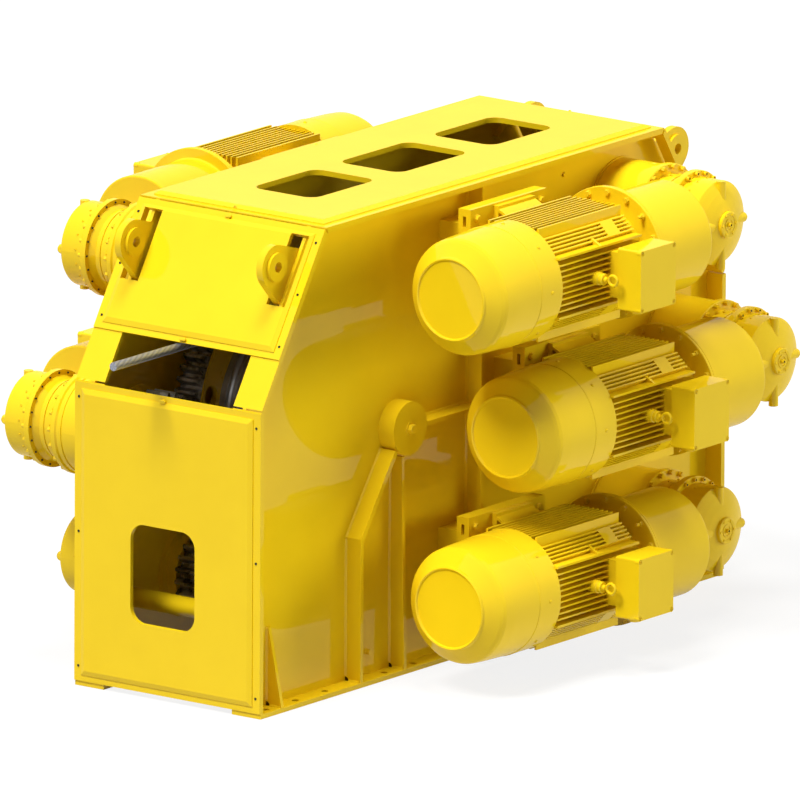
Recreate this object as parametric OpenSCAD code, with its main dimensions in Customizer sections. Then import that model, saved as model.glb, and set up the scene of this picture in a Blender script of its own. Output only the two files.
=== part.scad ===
/* [Housing] */
// Length over the end panels at the base
base_length = 3980; // [3800:20:4200]
// Length of the flat top of the side frames
top_length = 2890; // [2780:10:3000]
// Height of the knee, where the upright end turns into the slope
knee_height = 1620; // [1580:10:1680]
// Height of the side frames
frame_height = 2480; // [2440:10:2560]
// Width over the side frames
frame_width = 1200; // [1180:10:1260]
// Width of the edge plates round a side frame
edge_width = 185; // [160:5:195]
// Thickness of the edge plates round a side frame
edge_t = 22; // [16:1:30]
// Thickness of a side web
web_t = 20; // [16:1:25]
// Distance of a web's outer face behind the edge of its side frame
web_inset = 102; // [95:1:112]
// Gap between two edge plates at a corner
corner_gap = 10; // [4:1:16]

/* [Feet] */
// Thickness of a foot plate
foot_t = 25; // [20:1:40]
// Radius of a foundation bolt hole
foot_hole_r = 19.5; // [14:0.5:24]
// Distance between foundation bolts along a foot
foot_pitch = 250; // [240:2:260]
// Number of foundation bolts in a foot
foot_bolts = 16; // [12:2:16]
// Distance of the bolt line from the edge of the housing
foot_hole_inset = 48; // [40:1:60]

/* [Panels] */
// Thickness of the sheet of a panel
sheet_t = 8; // [5:1:12]
// Thickness of the raised cover on a panel
cover_t = 16; // [12:1:24]
// Width of the bevel round a raised cover
cover_bevel = 26; // [12:1:30]
// Height of the upright edge under the bevel
cover_lip = 5; // [2:1:9]
// Margin from the side of a panel to its cover
cover_margin = 47; // [35:1:60]
// Margin from the top and bottom of a panel to its cover
cover_margin_up = 34; // [25:1:50]
// Length of the top cover
top_cover_length = 2796; // [2700:2:2850]
// Width of the top cover
top_cover_width = 1096; // [1060:2:1120]
// Height of the top cover above the top plate
top_cover_t = 20; // [12:1:30]
// Length of a hole in the top
top_hole_length = 540; // [420:5:560]
// Length of the middle hole in the top
middle_hole_length = 600; // [420:5:620]
// Width of a hole in the top
top_hole_width = 405; // [300:5:420]
// Distance between the holes in the top
top_hole_pitch = 762; // [700:2:800]
// Corner radius of a hole in the top
top_hole_r = 70; // [20:5:100]
// Width of an end window
window_width = 415; // [300:5:480]
// Height of an end window
window_height = 525; // [400:5:560]
// Height of the middle of an end window
window_z = 655; // [620:5:720]
// Corner radius of an end window
window_r = 85; // [30:5:110]
// Distance of an end window from the middle plane
window_y = 18; // [0:1:40]
// Gap between the rope and the lower edge of the slope panel, measured upright
slot_clear = 6; // [5:0.5:20]
// Gap between the end panel and the plates of the slope
panel_gap = 10; // [4:1:20]
// Distance of the slope panel from the top of the slope
slope_margin = 4; // [3:1:30]

/* [Pad-eyes] */
// Radius of a pad-eye hole
eye_hole_r = 28.5; // [22:0.5:36]
// Radius of a pad-eye head
eye_head_r = 115; // [100:1:125]
// Radius of the boss round a pad-eye hole
eye_boss_r = 76; // [60:1:90]
// Thickness over the bosses of a pad-eye
eye_boss_t = 72; // [60:1:84]
// Thickness of a pad-eye plate
eye_t = 40; // [25:1:50]
// Distance of a pad-eye hole outside the slope
eye_off = 133; // [125:1:150]
// Distance of a pad-eye hole from the top of the slope, along it
eye_down = 281; // [270:1:295]
// Half the length of a pad-eye's root along the slope
eye_root_half = 156; // [140:1:170]
// Depth of a pad-eye's plate inside the slope
eye_root = 140; // [100:5:150]
// Reach of the cut-out round a pad-eye, towards the middle of the housing
eye_cut_in = 43; // [41:1:60]
// Reach of the cut-out towards the side of the housing
eye_cut_out = 73; // [60:1:80]
// Reach of the cut-out down the slope
eye_cut_low = 172; // [171:1:190]
// Reach of the cut-out up the slope
eye_cut_high = 224; // [171:1:230]

/* [Drums] */
// Distance of a drum axis from the middle of the housing
drum_x = 720; // [712:1:730]
// Share of the spare height that lies under the lower gearboxes
drum_share = 0.62544; // [0.6:0.00001:0.65]
// Radius of the rope's middle line on a drum
rope_wrap_r = 540; // [520:1:550]
// Diameter of the rope
rope_d = 45; // [38:1:50]
// Distance between the rope grooves
groove_pitch = 60; // [56:1:62]
// Number of rope grooves on a drum
groove_count = 8; // [6:1:8]
// Width of the plain band between the grooves and the drum gear
plain_band = 30; // [20:1:40]
// Radius of the fixed axle that a drum turns on
axle_r = 110; // [90:1:120]
// Radius of the drum hub
hub_r = 190; // [170:1:220]
// Thickness of the drum shell under the grooves
shell_t = 45; // [35:1:60]
// Radius of the flange at the open end of a drum
flange_r = 600; // [590:1:620]
// Thickness of the drum flange and of the drum web
flange_t = 30; // [20:1:36]
// Length of the rope left in the entry slot, from the drum axis
rope_length = 1650; // [1500:10:1800]

/* [Open gears] */
// Module of the gear teeth
gear_module = 20; // [19.5:0.05:20.2]
// Teeth of a drum gear
gear_teeth = 72; // [72:72]
// Teeth of a pinion
pinion_teeth = 22; // [22:22]
// Width of the gear teeth
gear_width = 138; // [110:1:142]
// Distance from the middle plane to the inner face of a gear
gear_y = 246; // [244:1:250]
// Play between the teeth, along the pitch circle
gear_play = 2; // [1:0.25:3]
// Thickness of the gear's disc
disc_t = 35; // [25:1:45]
// Number of lightening holes in the disc
disc_holes = 12; // [8:1:14]
// Radius of a lightening hole
disc_hole_r = 54; // [35:1:56]
// Radius of the circle of lightening holes
disc_hole_ring = 612; // [605:1:618]
// Radius of a pinion shaft
shaft_r = 80; // [60:1:95]
// Angle between the middle pinion and the outer ones
pinion_angle = 60; // [60:60]

/* [Bearings] */
// Outer radius of a drum bearing housing
bearing_r = 142; // [135:1:155]
// How far the outer bearing housing stands out of the web
bearing_out = 99; // [80:1:130]
// How far the bearing housing between the motors stands out of the web
bearing_cap_out = 30; // [16:1:40]
// How far any bearing housing stands into the housing
bearing_in = 55; // [30:1:70]
// Radius of the flange round a bearing housing, inside the web
bearing_flange_r = 215; // [200:1:240]
// Radius of a pinion housing's flange, inside the web
pinion_flange_r = 252; // [235:1:262]
// Radius of a pinion housing's nose
pinion_nose_r = 216; // [190:1:225]
// Thickness of the flanges inside the web
inner_flange_t = 28; // [20:1:34]

/* [Gearboxes] */
// Distance of the motor axes from the middle plane
motor_y = 1095; // [1090:1:1110]
// Radius of the planetary housing at the web
planet_r = 252; // [240:1:258]
// Radius of the bolted flange of the planetary housing
planet_flange_r = 266; // [260:1:280]
// Length of the planetary housing with its flange
planet_length = 318; // [300:1:330]
// Radius of the neck behind the bevel box
neck_r = 212; // [196:1:218]
// Radius of the collar between the neck and the bevel box
collar_r = 226; // [220:1:232]
// Length of the collar
collar_length = 36; // [28:1:42]
// Radius of the tapered neck towards the motor, at the bell housing
motor_neck_r = 140; // [110:1:160]
// Radius of the flange of the bevel box
bevel_flange_r = 255; // [245:1:262]
// Radius of the bevel box
bevel_r = 222; // [212:1:232]
// Distance of the bevel box flange behind the motor axis
bevel_back = 99; // [90:1:104]
// Thickness of the bevel box flange
bevel_flange_t = 36; // [28:1:40]
// Distance of the domed end in front of the motor axis
bevel_front = 104; // [90:1:110]
// Radius of the round plate on the domed end
plate_r = 70; // [55:1:80]
// Radius of the plug bosses on the domed end
plug_r = 25; // [20:1:32]
// Distance of the plug bosses in front of the motor axis
plug_y = 62; // [56:1:72]

/* [Motors] */
// Distance from the bevel box axis to the bell housing
bell_gap = 377; // [350:1:420]
// Length of the fan cowl
cowl_length = 538; // [500:1:560]
// Radius of the fan cowl
cowl_r = 319; // [308:1:330]
// Radius of the flat disc on the fan end
cowl_disc_r = 215; // [200:1:240]
// Length of the cone at the fan end
cowl_cone = 80; // [60:1:120]
// Length of the band between the bead of the fan cowl and the frame
cowl_band = 170; // [150:2:190]
// Length of the frame with its flange
frame_length = 824; // [800:1:840]
// Length of the fins
fin_length = 700; // [660:5:715]
// Radius of the frame under the fins
stator_r = 255; // [245:1:265]
// Reach of the fins from the motor axis
fin_reach = 298; // [290:1:304]
// Thickness of a fin
fin_t = 9; // [6:0.5:11]
// Distance between two fins
fin_pitch = 30; // [26:0.5:31]
// Distance of a corner rail from the motor axis, to its outer face
rail_at = 163; // [158:1:168]
// Thickness of a corner rail
rail_t = 12; // [8:1:14]
// Distance between two of the short fins in a corner
short_pitch = 22; // [18:0.5:24]
// Radius of the boss under the lifting eye
lift_boss_r = 36; // [30:1:42]
// Distance of the lifting eye before the terminal box
lift_eye_dx = 52; // [46:1:70]
// Radius of the motor's flange
motor_flange_r = 348; // [335:1:358]
// Thickness of the motor's flange
motor_flange_t = 18; // [14:1:30]
// Radius of the bell housing
bell_r = 290; // [270:1:298]
// Length of the bell housing
bell_length = 499; // [480:1:530]
// Thickness of the bell housing's flange
bell_rim_t = 16; // [12:1:30]
// Shaft height of a motor over its feet
shaft_height = 315; // [308:1:325]
// Length of the motor's foot
foot_length = 314; // [280:2:360]
// Width over the motor's feet
foot_span = 612; // [600:2:630]
// Thickness of the motor's feet
motor_foot_t = 30; // [20:1:36]
// Drop of the leaning plate of a foot, from the bracket to the motor
foot_drop = 80; // [40:2:100]
// Thickness of the leaning plate of a foot
foot_plate_t = 16; // [12:1:20]
// Height of the upright flange of a foot
foot_flange = 110; // [80:5:120]
// Distance of a corner gusset from the fan end of the frame
gusset_at = 350; // [330:2:420]
// Distance of a corner pad from the fan end of the frame
pad_at = 490; // [450:2:540]
// Length of a corner pad
pad_length = 100; // [60:5:120]

/* [Terminal boxes] */
// Length of a terminal box
box_length = 298; // [260:2:320]
// Height of a terminal box
box_height = 326; // [290:2:340]
// Depth of a terminal box
box_depth = 148; // [120:2:160]
// Distance of a terminal box from the fan end
box_x = 1059; // [1040:1:1075]
// Distance of a terminal box's back from the motor axis
box_back = 392; // [370:2:420]
// Length of the neck under a terminal box
box_neck_length = 172; // [150:2:200]
// Height of the neck under a terminal box
box_neck_height = 240; // [200:2:250]
// Radius of the screw ears at the corners of a terminal box
box_ear_r = 16; // [12:0.5:20]

/* [Motor brackets] */
// Length of a bracket plate
bracket_length = 648; // [620:4:680]
// Height of a bracket plate
bracket_height = 634; // [628:2:650]
// Thickness of a bracket plate
bracket_t = 29; // [20:1:32]
// Distance between the two plates of a bracket
bracket_gap = 20; // [12:1:26]
// Distance of a bracket's middle from the fan end
bracket_x = 914; // [890:2:930]
// Distance of a motor's foot in front of the middle of its bracket
foot_shift = 32; // [10:1:50]
// Height of the slots between the two plates
slot_high = 57; // [40:1:70]
// Height of the spacer bar outside a slot
spacer_high = 38; // [25:1:50]
// Distance of the stand-off box from the edge of its plate
box_edge = 110; // [100:5:130]

/* [Stiffeners] */
// Thickness of the stiffener plates
rib_t = 22; // [14:1:28]
// Distance of the stiffener's outer edges behind the edge plates
rib_set_back = 4; // [0:1:10]
// Distance of the post from the bearing housing
post_gap = 476; // [460:1:490]
// Distance of the foot of the bent rib from the bearing housing's axis
bent_dx = 402; // [380:1:430]
// Height at which the bent rib starts to lean
bent_z = 776; // [700:2:850]
// Distance of the rib under the bearing housing from its axis
under_dx = 30; // [0:1:60]
// Distance of the end gusset from the end of the side frame
gusset_dx = 192; // [150:2:230]
// Height of the end gusset
gusset_high = 414; // [350:2:480]

/* [Hidden] */
$fn = 96;

// Colours of the finishes
paint = [0.98, 0.82, 0.08];
steel = [0.42, 0.43, 0.44];
gear_steel = [0.30, 0.30, 0.31];

// Running clearance of shafts and the gap between a seat and what it holds
run_gap = 0.3;
// Depth to which an axle end goes past the web's outer face
axle_past = 10;
// Gap between a drum or a gear and what stands beside it
side_gap = 8;
// Overlap that makes two shapes of one solid run into each other
bite = 2;
// Reach of a cut past the face that it opens
past = 5;
// Gap under the end panels
foot_gap = 3;

// Places of the side frames across the housing
half_w = frame_width / 2;
web_out = half_w - web_inset;
web_in = web_out - web_t;
edge_in = half_w - edge_width;

// The profile of the side frames
half_base = base_length / 2 - sheet_t;
half_top = top_length / 2;
slope_dx = half_base - half_top;
slope_dz = frame_height - knee_height;
slope_len = norm([slope_dx, slope_dz]);
slope_lean = atan2(slope_dx, slope_dz);
top_plate_t = sheet_t;
// Distance of the top plate from the ends of the flat top
top_margin = 2;

// A pad-eye lies against the inner face of its web
eye_y = web_in - eye_t / 2;
// Place of its hole along the slope, from the middle of the housing and above the foot
eye_along = slope_len - eye_down;
eye_x = half_base - eye_along * sin(slope_lean) + eye_off * cos(slope_lean);
eye_z = knee_height + eye_along * cos(slope_lean) + eye_off * sin(slope_lean);

// The gears
pitch_r = gear_module * gear_teeth / 2;
pinion_pitch_r = gear_module * pinion_teeth / 2;
gear_distance = pitch_r + pinion_pitch_r;
pressure_angle = 20;
// The drum axes lie where the upper and lower gearboxes clear the top plate and the feet
pinion_rise = gear_distance * sin(pinion_angle);
spare_height = frame_height - foot_t - 2 * (pinion_rise + pinion_flange_r);
drum_z = foot_t + pinion_flange_r + pinion_rise + drum_share * spare_height;
// Height of the rope slot along the slope, from the knee to just over the rope
slot_length = (drum_z + rope_wrap_r + rope_d / 2 + slot_clear - knee_height) / cos(slope_lean);
pinion_angles = [pinion_angle, 0, -pinion_angle];

// Places of the gearboxes on one side, upper, middle and lower
drive_x = [for (a = pinion_angles) drum_x + gear_distance * cos(a)];
drive_z = [for (a = pinion_angles) drum_z + gear_distance * sin(a)];

// The drum between its open end and the gear's disc
drum_face = gear_y - 6;
barrel_end = groove_pitch * groove_count + plain_band - drum_face;
// The rope enters over the third groove from the gear
rope_y = (groove_count - 2.5) * groove_pitch - barrel_end;

// Places of the motor measured from the bevel box axis
bell_end = -bell_gap;
bell_x = bell_end - bell_length;
stator_x = bell_x - frame_length;
cowl_x = stator_x - cowl_length;
// The bracket plates, measured from the motor axis towards the web
foot_face = shaft_height;
plate_back = foot_face + bracket_t + bracket_gap;
bracket_at = cowl_x + bracket_x;
foot_at = bracket_at + foot_shift;

// Half a turn about the upright axis: the far side repeats the near one
module far_side() {
    rotate([0, 0, 180]) children();
}

// A flat shape in the X-Z plane, made thick from y outwards on the near side
module upright(y, t) {
    translate([0, -y, 0]) rotate([90, 0, 0]) linear_extrude(t) children();
}

// A round bar along Y on the near side
module across(x, y, z, r, t) {
    translate([x, -y, z]) rotate([90, 0, 0]) cylinder(r = r, h = t);
}

// A flat rectangle with round corners
module round_rect(w, h, r) {
    square([w - 2 * r, h], center = true);
    square([w, h - 2 * r], center = true);
    for (x = [-1, 1], y = [-1, 1]) {
        translate([x * (w / 2 - r), y * (h / 2 - r)]) circle(r);
    }
}

// A plate with a bevel round its upper face
module bevel_plate(w, h, t) {
    intersection() {
        rotate([90, 0, 0]) linear_extrude(h, center = true) bevel_section(w, t);
        rotate([90, 0, 90]) linear_extrude(w, center = true) bevel_section(h, t);
    }
}

module bevel_section(w, t) {
    polygon([[-w / 2, 0], [w / 2, 0], [w / 2, cover_lip], [w / 2 - cover_bevel, t],
        [cover_bevel - w / 2, t], [-w / 2, cover_lip]]);
}

// The outline of a side frame, moved inwards by t, from the height z0 up
function outline(t, z0) = let (
    x = half_base - t,
    knee = knee_height - t * (slope_len - slope_dz) / slope_dx,
    x_top = half_top - t * (slope_len - slope_dx) / slope_dz)
    [[-x, z0], [x, z0], [x, knee], [x_top, frame_height - t],
        [-x_top, frame_height - t], [-x, knee]];

// The edge plates round a side frame, with a small gap at each corner
module edge_ring() {
    difference() {
        polygon(outline(0, foot_t));
        polygon(outline(edge_t, foot_t - past));
        for (s = [-1, 1]) {
            translate([s * half_base, knee_height]) rotate(s * slope_lean / 2)
                square([4 * edge_t, corner_gap], center = true);
            translate([s * half_top, frame_height]) rotate(s * (90 + slope_lean) / 2)
                square([4 * edge_t, corner_gap], center = true);
        }
    }
}

// One side: a web with edge plates, open where shafts pass through it
module side_frame() {
    shaft_hole_r = shaft_r + 40;
    color(paint) difference() {
        union() {
            upright(web_in, web_t) polygon(outline(0, foot_t));
            difference() {
                upright(edge_in, edge_width) edge_ring();
                eye_slot();
                mirror([1, 0, 0]) eye_slot();
            }
        }
        for (s = [-1, 1]) across(s * drum_x, web_in - past, drum_z, bearing_r + run_gap, web_t + 2 * past);
        for (i = [0 : 2]) {
            across(drive_x[i], web_in - past, drive_z[i], shaft_hole_r, web_t + 2 * past);
        }
    }
}

// The cut in the edge plate that a pad-eye's plate comes through
module eye_slot() {
    translate([-eye_x, 0, eye_z]) rotate([0, slope_lean, 0])
        translate([eye_off - past, -eye_y - eye_cut_out, -eye_cut_low])
        cube([edge_t + 2 * past, eye_cut_in + eye_cut_out, eye_cut_low + eye_cut_high]);
}

// A foot plate with its row of foundation bolt holes
module foot() {
    color(paint) difference() {
        translate([-half_base, -half_w, 0]) cube([2 * half_base, edge_width, foot_t]);
        for (i = [0 : foot_bolts - 1]) {
            translate([(i - (foot_bolts - 1) / 2) * foot_pitch, foot_hole_inset - half_w, -past])
                cylinder(r = foot_hole_r, h = foot_t + 2 * past);
        }
    }
}

// Depth of the stiffeners outside the web, the top of the post and the places of the plates
rib_depth = web_inset - rib_set_back;
rib_top = frame_height - edge_t;
post_x = bearing_r - drum_x + post_gap;
bent_x = -drum_x - bent_dx;
gusset_x = gusset_dx - half_base;
// Depth that is left at the narrow end of a tapered plate
gusset_tip = 12;
under_tip = 76;

// An upright plate across the web, with its outer edge leaning from d0 at z0 to d1 at z1
module web_rib(x, z0, z1, d0, d1) {
    translate([x - rib_t / 2, 0, 0]) rotate([90, 0, 90]) linear_extrude(rib_t)
        polygon([[-web_out, z0], [-web_out - d0, z0], [-web_out - d1, z1], [-web_out, z1]]);
}

// The plates that stiffen the web and carry the bearing housing
module stiffeners() {
    seat = bearing_r + 4;
    color(paint) {
        // The gusset behind the end panel
        web_rib(gusset_x, foot_t, foot_t + gusset_high, rib_depth, gusset_tip);
        // The bent rib that leans towards the bearing housing
        translate([0, -web_out, 0]) rotate([90, 0, 0]) linear_extrude(rib_depth) bent_rib();
        // The rib under the bearing housing
        web_rib(-drum_x - under_dx, foot_t, drum_z - seat, rib_depth, under_tip);
        // The level rib from the bearing housing and the post that it meets
        translate([seat - drum_x, -web_out - rib_depth, drum_z - rib_t / 2])
            cube([post_x - rib_t / 2 - seat + drum_x + bite, rib_depth, rib_t]);
        web_rib(post_x, foot_t, rib_top, rib_depth, rib_depth);
    }
}

// The bent rib's flat shape, ending at the side of the bearing housing
module bent_rib() {
    half = rib_t / 2;
    lean = 42;
    lean_x = -drum_x - (bearing_r + 10) * cos(lean);
    lean_z = drum_z - (bearing_r + 10) * sin(lean);
    polygon([[bent_x - half, foot_t], [bent_x + half, foot_t], [bent_x + half, bent_z - 8],
        [lean_x + half, lean_z - 8], [lean_x - half, lean_z + 8], [bent_x - half, bent_z + 8]]);
}

// The upright panel at one end, over the full width
module end_panel() {
    color(paint) translate([-half_base, 0, 0]) rotate([90, 0, -90])
        linear_extrude(sheet_t) difference() {
            translate([-half_w, foot_t + foot_gap])
                square([frame_width, knee_height - foot_t - foot_gap - panel_gap]);
            end_window();
        }
}

// The window in an end panel, seen from outside
module end_window() {
    translate([-window_y, window_z]) round_rect(window_width, window_height, window_r);
}

// The raised cover on the end panel, round the window
module end_cover() {
    low = foot_t + foot_gap + cover_margin_up;
    high = knee_height - panel_gap - cover_margin_up;
    color(paint) difference() {
        translate([-base_length / 2, 0, (low + high) / 2]) rotate([0, -90, 0])
            bevel_plate(high - low, frame_width - 2 * cover_margin, cover_t);
        translate([-half_base, 0, 0]) rotate([90, 0, -90])
            linear_extrude(sheet_t + cover_t + past) end_window();
    }
}

// Puts a shape on the slope: x across the housing, y up the slope, z out of it
module on_slope() {
    translate([-half_base, 0, knee_height]) rotate([0, slope_lean, 0]) rotate([90, 0, -90]) children();
}

slope_high = slope_len - slope_margin;

// The cut-outs for the pad-eyes, near the upper corners
module eye_cuts(depth) {
    for (s = [0, 1]) mirror([s, 0, 0]) translate([eye_y - eye_cut_in, eye_along - eye_cut_low, -past])
        cube([eye_cut_in + eye_cut_out, eye_cut_low + eye_cut_high, depth]);
}

// The panel on the slope, over the rope slot
module slope_panel() {
    color(paint) on_slope() difference() {
        translate([-half_w, slot_length, 0]) cube([frame_width, slope_high - slot_length, sheet_t]);
        eye_cuts(sheet_t + 2 * past);
    }
}

// The raised cover of the slope panel
module slope_cover() {
    high = slope_high - cover_margin_up;
    low = slot_length + cover_margin_up;
    color(paint) on_slope() difference() {
        translate([0, (low + high) / 2, sheet_t])
            bevel_plate(frame_width - 2 * cover_margin, high - low, cover_t);
        eye_cuts(sheet_t + cover_t + 2 * past);
    }
}

// The three holes in the top
module top_holes(z, t) {
    for (i = [-1 : 1]) translate([i * top_hole_pitch, 0, z]) linear_extrude(t)
        round_rect(i == 0 ? middle_hole_length : top_hole_length, top_hole_width, top_hole_r);
}

// The plate across the top of the side frames
module top_plate() {
    color(paint) difference() {
        translate([top_margin - half_top, -half_w, frame_height])
            cube([2 * (half_top - top_margin), frame_width, top_plate_t]);
        top_holes(frame_height - past, top_plate_t + 2 * past);
    }
}

// The raised cover of the top
module top_cover() {
    color(paint) difference() {
        translate([0, 0, frame_height + top_plate_t])
            bevel_plate(top_cover_length, top_cover_width, top_cover_t);
        top_holes(frame_height, top_plate_t + top_cover_t + past);
    }
}

// The flat shape of a pad-eye: a round head with two tangents that run to its wide root
module eye_shape() {
    turn = atan2(eye_root_half, eye_off) + acos(eye_head_r / norm([eye_off, eye_root_half]));
    touch = eye_head_r * dir(turn);
    deep = eye_off + eye_root;
    circle(eye_head_r);
    polygon([touch, [eye_off, eye_root_half], [deep, eye_root_half], [deep, -eye_root_half],
        [eye_off, -eye_root_half], [touch.x, -touch.y]]);
}

// A lifting pad-eye: a plate with bosses round its hole, welded to the inner face of the web
module pad_eye() {
    translate([-eye_x, 0, eye_z]) rotate([0, slope_lean, 0]) rotate([90, 0, 0]) difference() {
        union() {
            linear_extrude(eye_t, center = true) eye_shape();
            cylinder(r = eye_boss_r, h = eye_boss_t, center = true);
        }
        cylinder(r = eye_hole_r, h = eye_boss_t + 2 * past, center = true);
    }
}

module pad_eyes() {
    color(paint) for (end = [0, 180], s = [-1, 1])
        rotate([0, 0, end]) translate([0, s * eye_y, 0]) pad_eye();
}

// The tube across the inside of each end, below the rope
tube_r = 52;
tube_x = 1690;
tube_z = 431;

module cross_tubes() {
    color(paint) for (s = [-1, 1]) translate([s * tube_x, 0, tube_z]) rotate([90, 0, 0])
        cylinder(r = tube_r, h = 2 * web_in, center = true);
}

// The length of taut rope that runs in over the front drum
module entry_rope() {
    color(steel) translate([-drum_x - rope_length, rope_y, drum_z + rope_wrap_r]) rotate([0, 90, 0])
        cylinder(d = rope_d, h = rope_length);
}

// The fixed axles that the drums turn on
module drum_axles() {
    color(steel) for (s = [-1, 1]) translate([s * drum_x, 0, drum_z]) rotate([90, 0, 0])
        cylinder(r = axle_r, h = 2 * (web_out + axle_past), center = true);
}

// A bearing housing that goes through the web and holds an end of an axle
module bearing_housing(x, out) {
    difference() {
        union() {
            across(x, web_in - bearing_in, drum_z, bearing_r, bearing_in + web_t + out);
            across(x, web_in - inner_flange_t, drum_z, bearing_flange_r, inner_flange_t);
        }
        across(x, web_in - bearing_in - past, drum_z, axle_r, past + bearing_in + web_t + axle_past);
    }
}

module bearing_housings() {
    color(paint) {
        bearing_housing(-drum_x, bearing_out);
        bearing_housing(drum_x, bearing_cap_out);
    }
}

// The housing inside the web that holds a pinion shaft
module pinion_housings() {
    nose_y = gear_y + gear_width + side_gap;
    color(paint) for (i = [0 : 2]) difference() {
        union() {
            across(drive_x[i], web_in - inner_flange_t, drive_z[i], pinion_flange_r, inner_flange_t);
            across(drive_x[i], nose_y, drive_z[i], pinion_nose_r, web_in - nose_y);
        }
        across(drive_x[i], gear_y, drive_z[i], shaft_r + run_gap, web_in);
    }
}

// Half the angle that a tooth fills at radius r
function tooth_half(r, teeth) = let (
    pitch = gear_module * teeth / 2,
    base = pitch * cos(pressure_angle),
    at_pitch = 90 / teeth - gear_play / 4 / pitch * 180 / PI)
    at_pitch + involute(acos(base / pitch)) - involute(acos(min(1, base / r)));
function involute(a) = tan(a) * 180 / PI - a;

// The flat outline of a gear with involute flanks, a tooth along +X
function gear_points(teeth) = let (
    pitch = gear_module * teeth / 2,
    root = pitch - 1.25 * gear_module,
    low = max(root, pitch * cos(pressure_angle)),
    tip = pitch + gear_module,
    radii = [root, for (k = [0 : 3]) low + 2 + (tip - low - 2) * k / 3])
    [for (i = [0 : teeth - 1]) let (turn = i * 360 / teeth) each concat(
        [for (r = radii) r * dir(turn - tooth_half(r, teeth))],
        [for (k = [len(radii) - 1 : -1 : 0]) radii[k] * dir(turn + tooth_half(radii[k], teeth))])];
function dir(a) = [cos(a), sin(a)];

// The grooved drum, drawn about Z with its gear end at drum_face
module drum_body() {
    groove_r = rope_d / 2 + 1;
    land_r = rope_wrap_r - 4;
    inner_r = rope_wrap_r - groove_r - shell_t;
    rotate_extrude() difference() {
        union() {
            translate([inner_r, -barrel_end]) square([land_r - inner_r, drum_face + barrel_end]);
            translate([inner_r, -barrel_end - flange_t]) square([flange_r - inner_r, flange_t]);
            translate([hub_r - bite, -flange_t / 2]) square([inner_r - hub_r + 2 * bite, flange_t]);
            translate([axle_r + run_gap, -drum_face]) square([hub_r - axle_r - run_gap, 2 * drum_face]);
        }
        for (i = [0 : groove_count - 1]) translate([rope_wrap_r, (i + 0.5) * groove_pitch - barrel_end])
            circle(groove_r);
    }
}

// Turns a shape about Z into the drum's place, its gear end to the far side
module on_drum_axis() {
    translate([-drum_x, 0, drum_z]) rotate([-90, 0, 0]) children();
}

module front_drum() {
    color(steel) on_drum_axis() drum_body();
}

// The drum gear: a toothed rim on a disc with lightening holes
module front_gear() {
    rim_in = disc_hole_ring + disc_hole_r + 6;
    disc_in = rope_wrap_r - 60;
    color(gear_steel) on_drum_axis() difference() {
        union() {
            translate([0, 0, gear_y]) linear_extrude(gear_width)
                rotate(180) polygon(gear_points(gear_teeth));
            translate([0, 0, drum_face]) cylinder(r = rim_in + 12, h = disc_t);
        }
        translate([0, 0, drum_face + disc_t]) cylinder(r = rim_in, h = gear_width);
        translate([0, 0, drum_face - past]) cylinder(r = disc_in, h = disc_t + 2 * past);
        for (i = [0 : disc_holes - 1]) rotate((i + 0.5) * 360 / disc_holes)
            translate([disc_hole_ring, 0, drum_face - past])
                cylinder(r = disc_hole_r, h = disc_t + 2 * past);
    }
}

// A pinion of the front drum with the shaft that goes into its gearbox
module front_pinion(i) {
    a = pinion_angles[i];
    color(gear_steel) translate([-drive_x[i], 0, drive_z[i]]) rotate([-90, 0, 0]) {
        translate([0, 0, gear_y]) linear_extrude(gear_width)
            rotate(a + 180 / pinion_teeth) polygon(gear_points(pinion_teeth));
        translate([0, 0, gear_y + gear_width - bite])
            cylinder(r = shaft_r, h = web_out - gear_y - gear_width + bite + shaft_in);
    }
}

// Puts a drive in its place: the motor axis along X, the gearbox axis along Y
module drives() {
    for (i = [0 : 2]) translate([drive_x[i], -motor_y, drive_z[i]]) children();
}

// A solid of revolution about the gearbox axis, its profile as [r, y] from the motor axis inwards
module turned_y(points) {
    rotate([-90, 0, 0]) rotate_extrude() polygon(points);
}

// A solid of revolution about the motor axis, its profile as [r, x]
module turned_x(points) {
    rotate([0, 90, 0]) rotate_extrude() polygon(points);
}

web_at = motor_y - web_out;
planet_end = web_at - planet_length;
// Depth of the pinion shaft inside the planetary gear, and of the hole that it turns in
shaft_in = 60;
shaft_depth = shaft_in + axle_past;

// The planetary gear on the web, with a blind hole for the pinion shaft
module planetary_gears() {
    flange_y = planet_end + 30;
    color(paint) drives() difference() {
        turned_y([[0, planet_end], [planet_flange_r - 5, planet_end], [planet_flange_r, planet_end + 5],
            [planet_flange_r, flange_y], [planet_r + 5, flange_y + 8], [planet_r + 5, flange_y + 34],
            [planet_r, flange_y + 36], [planet_r, web_at - 10], [planet_r + 8, web_at - 10],
            [planet_r + 8, web_at], [0, web_at]]);
        translate([0, web_at - shaft_depth, 0]) rotate([-90, 0, 0])
            cylinder(r = shaft_r + run_gap, h = shaft_depth + past);
    }
}

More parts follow.
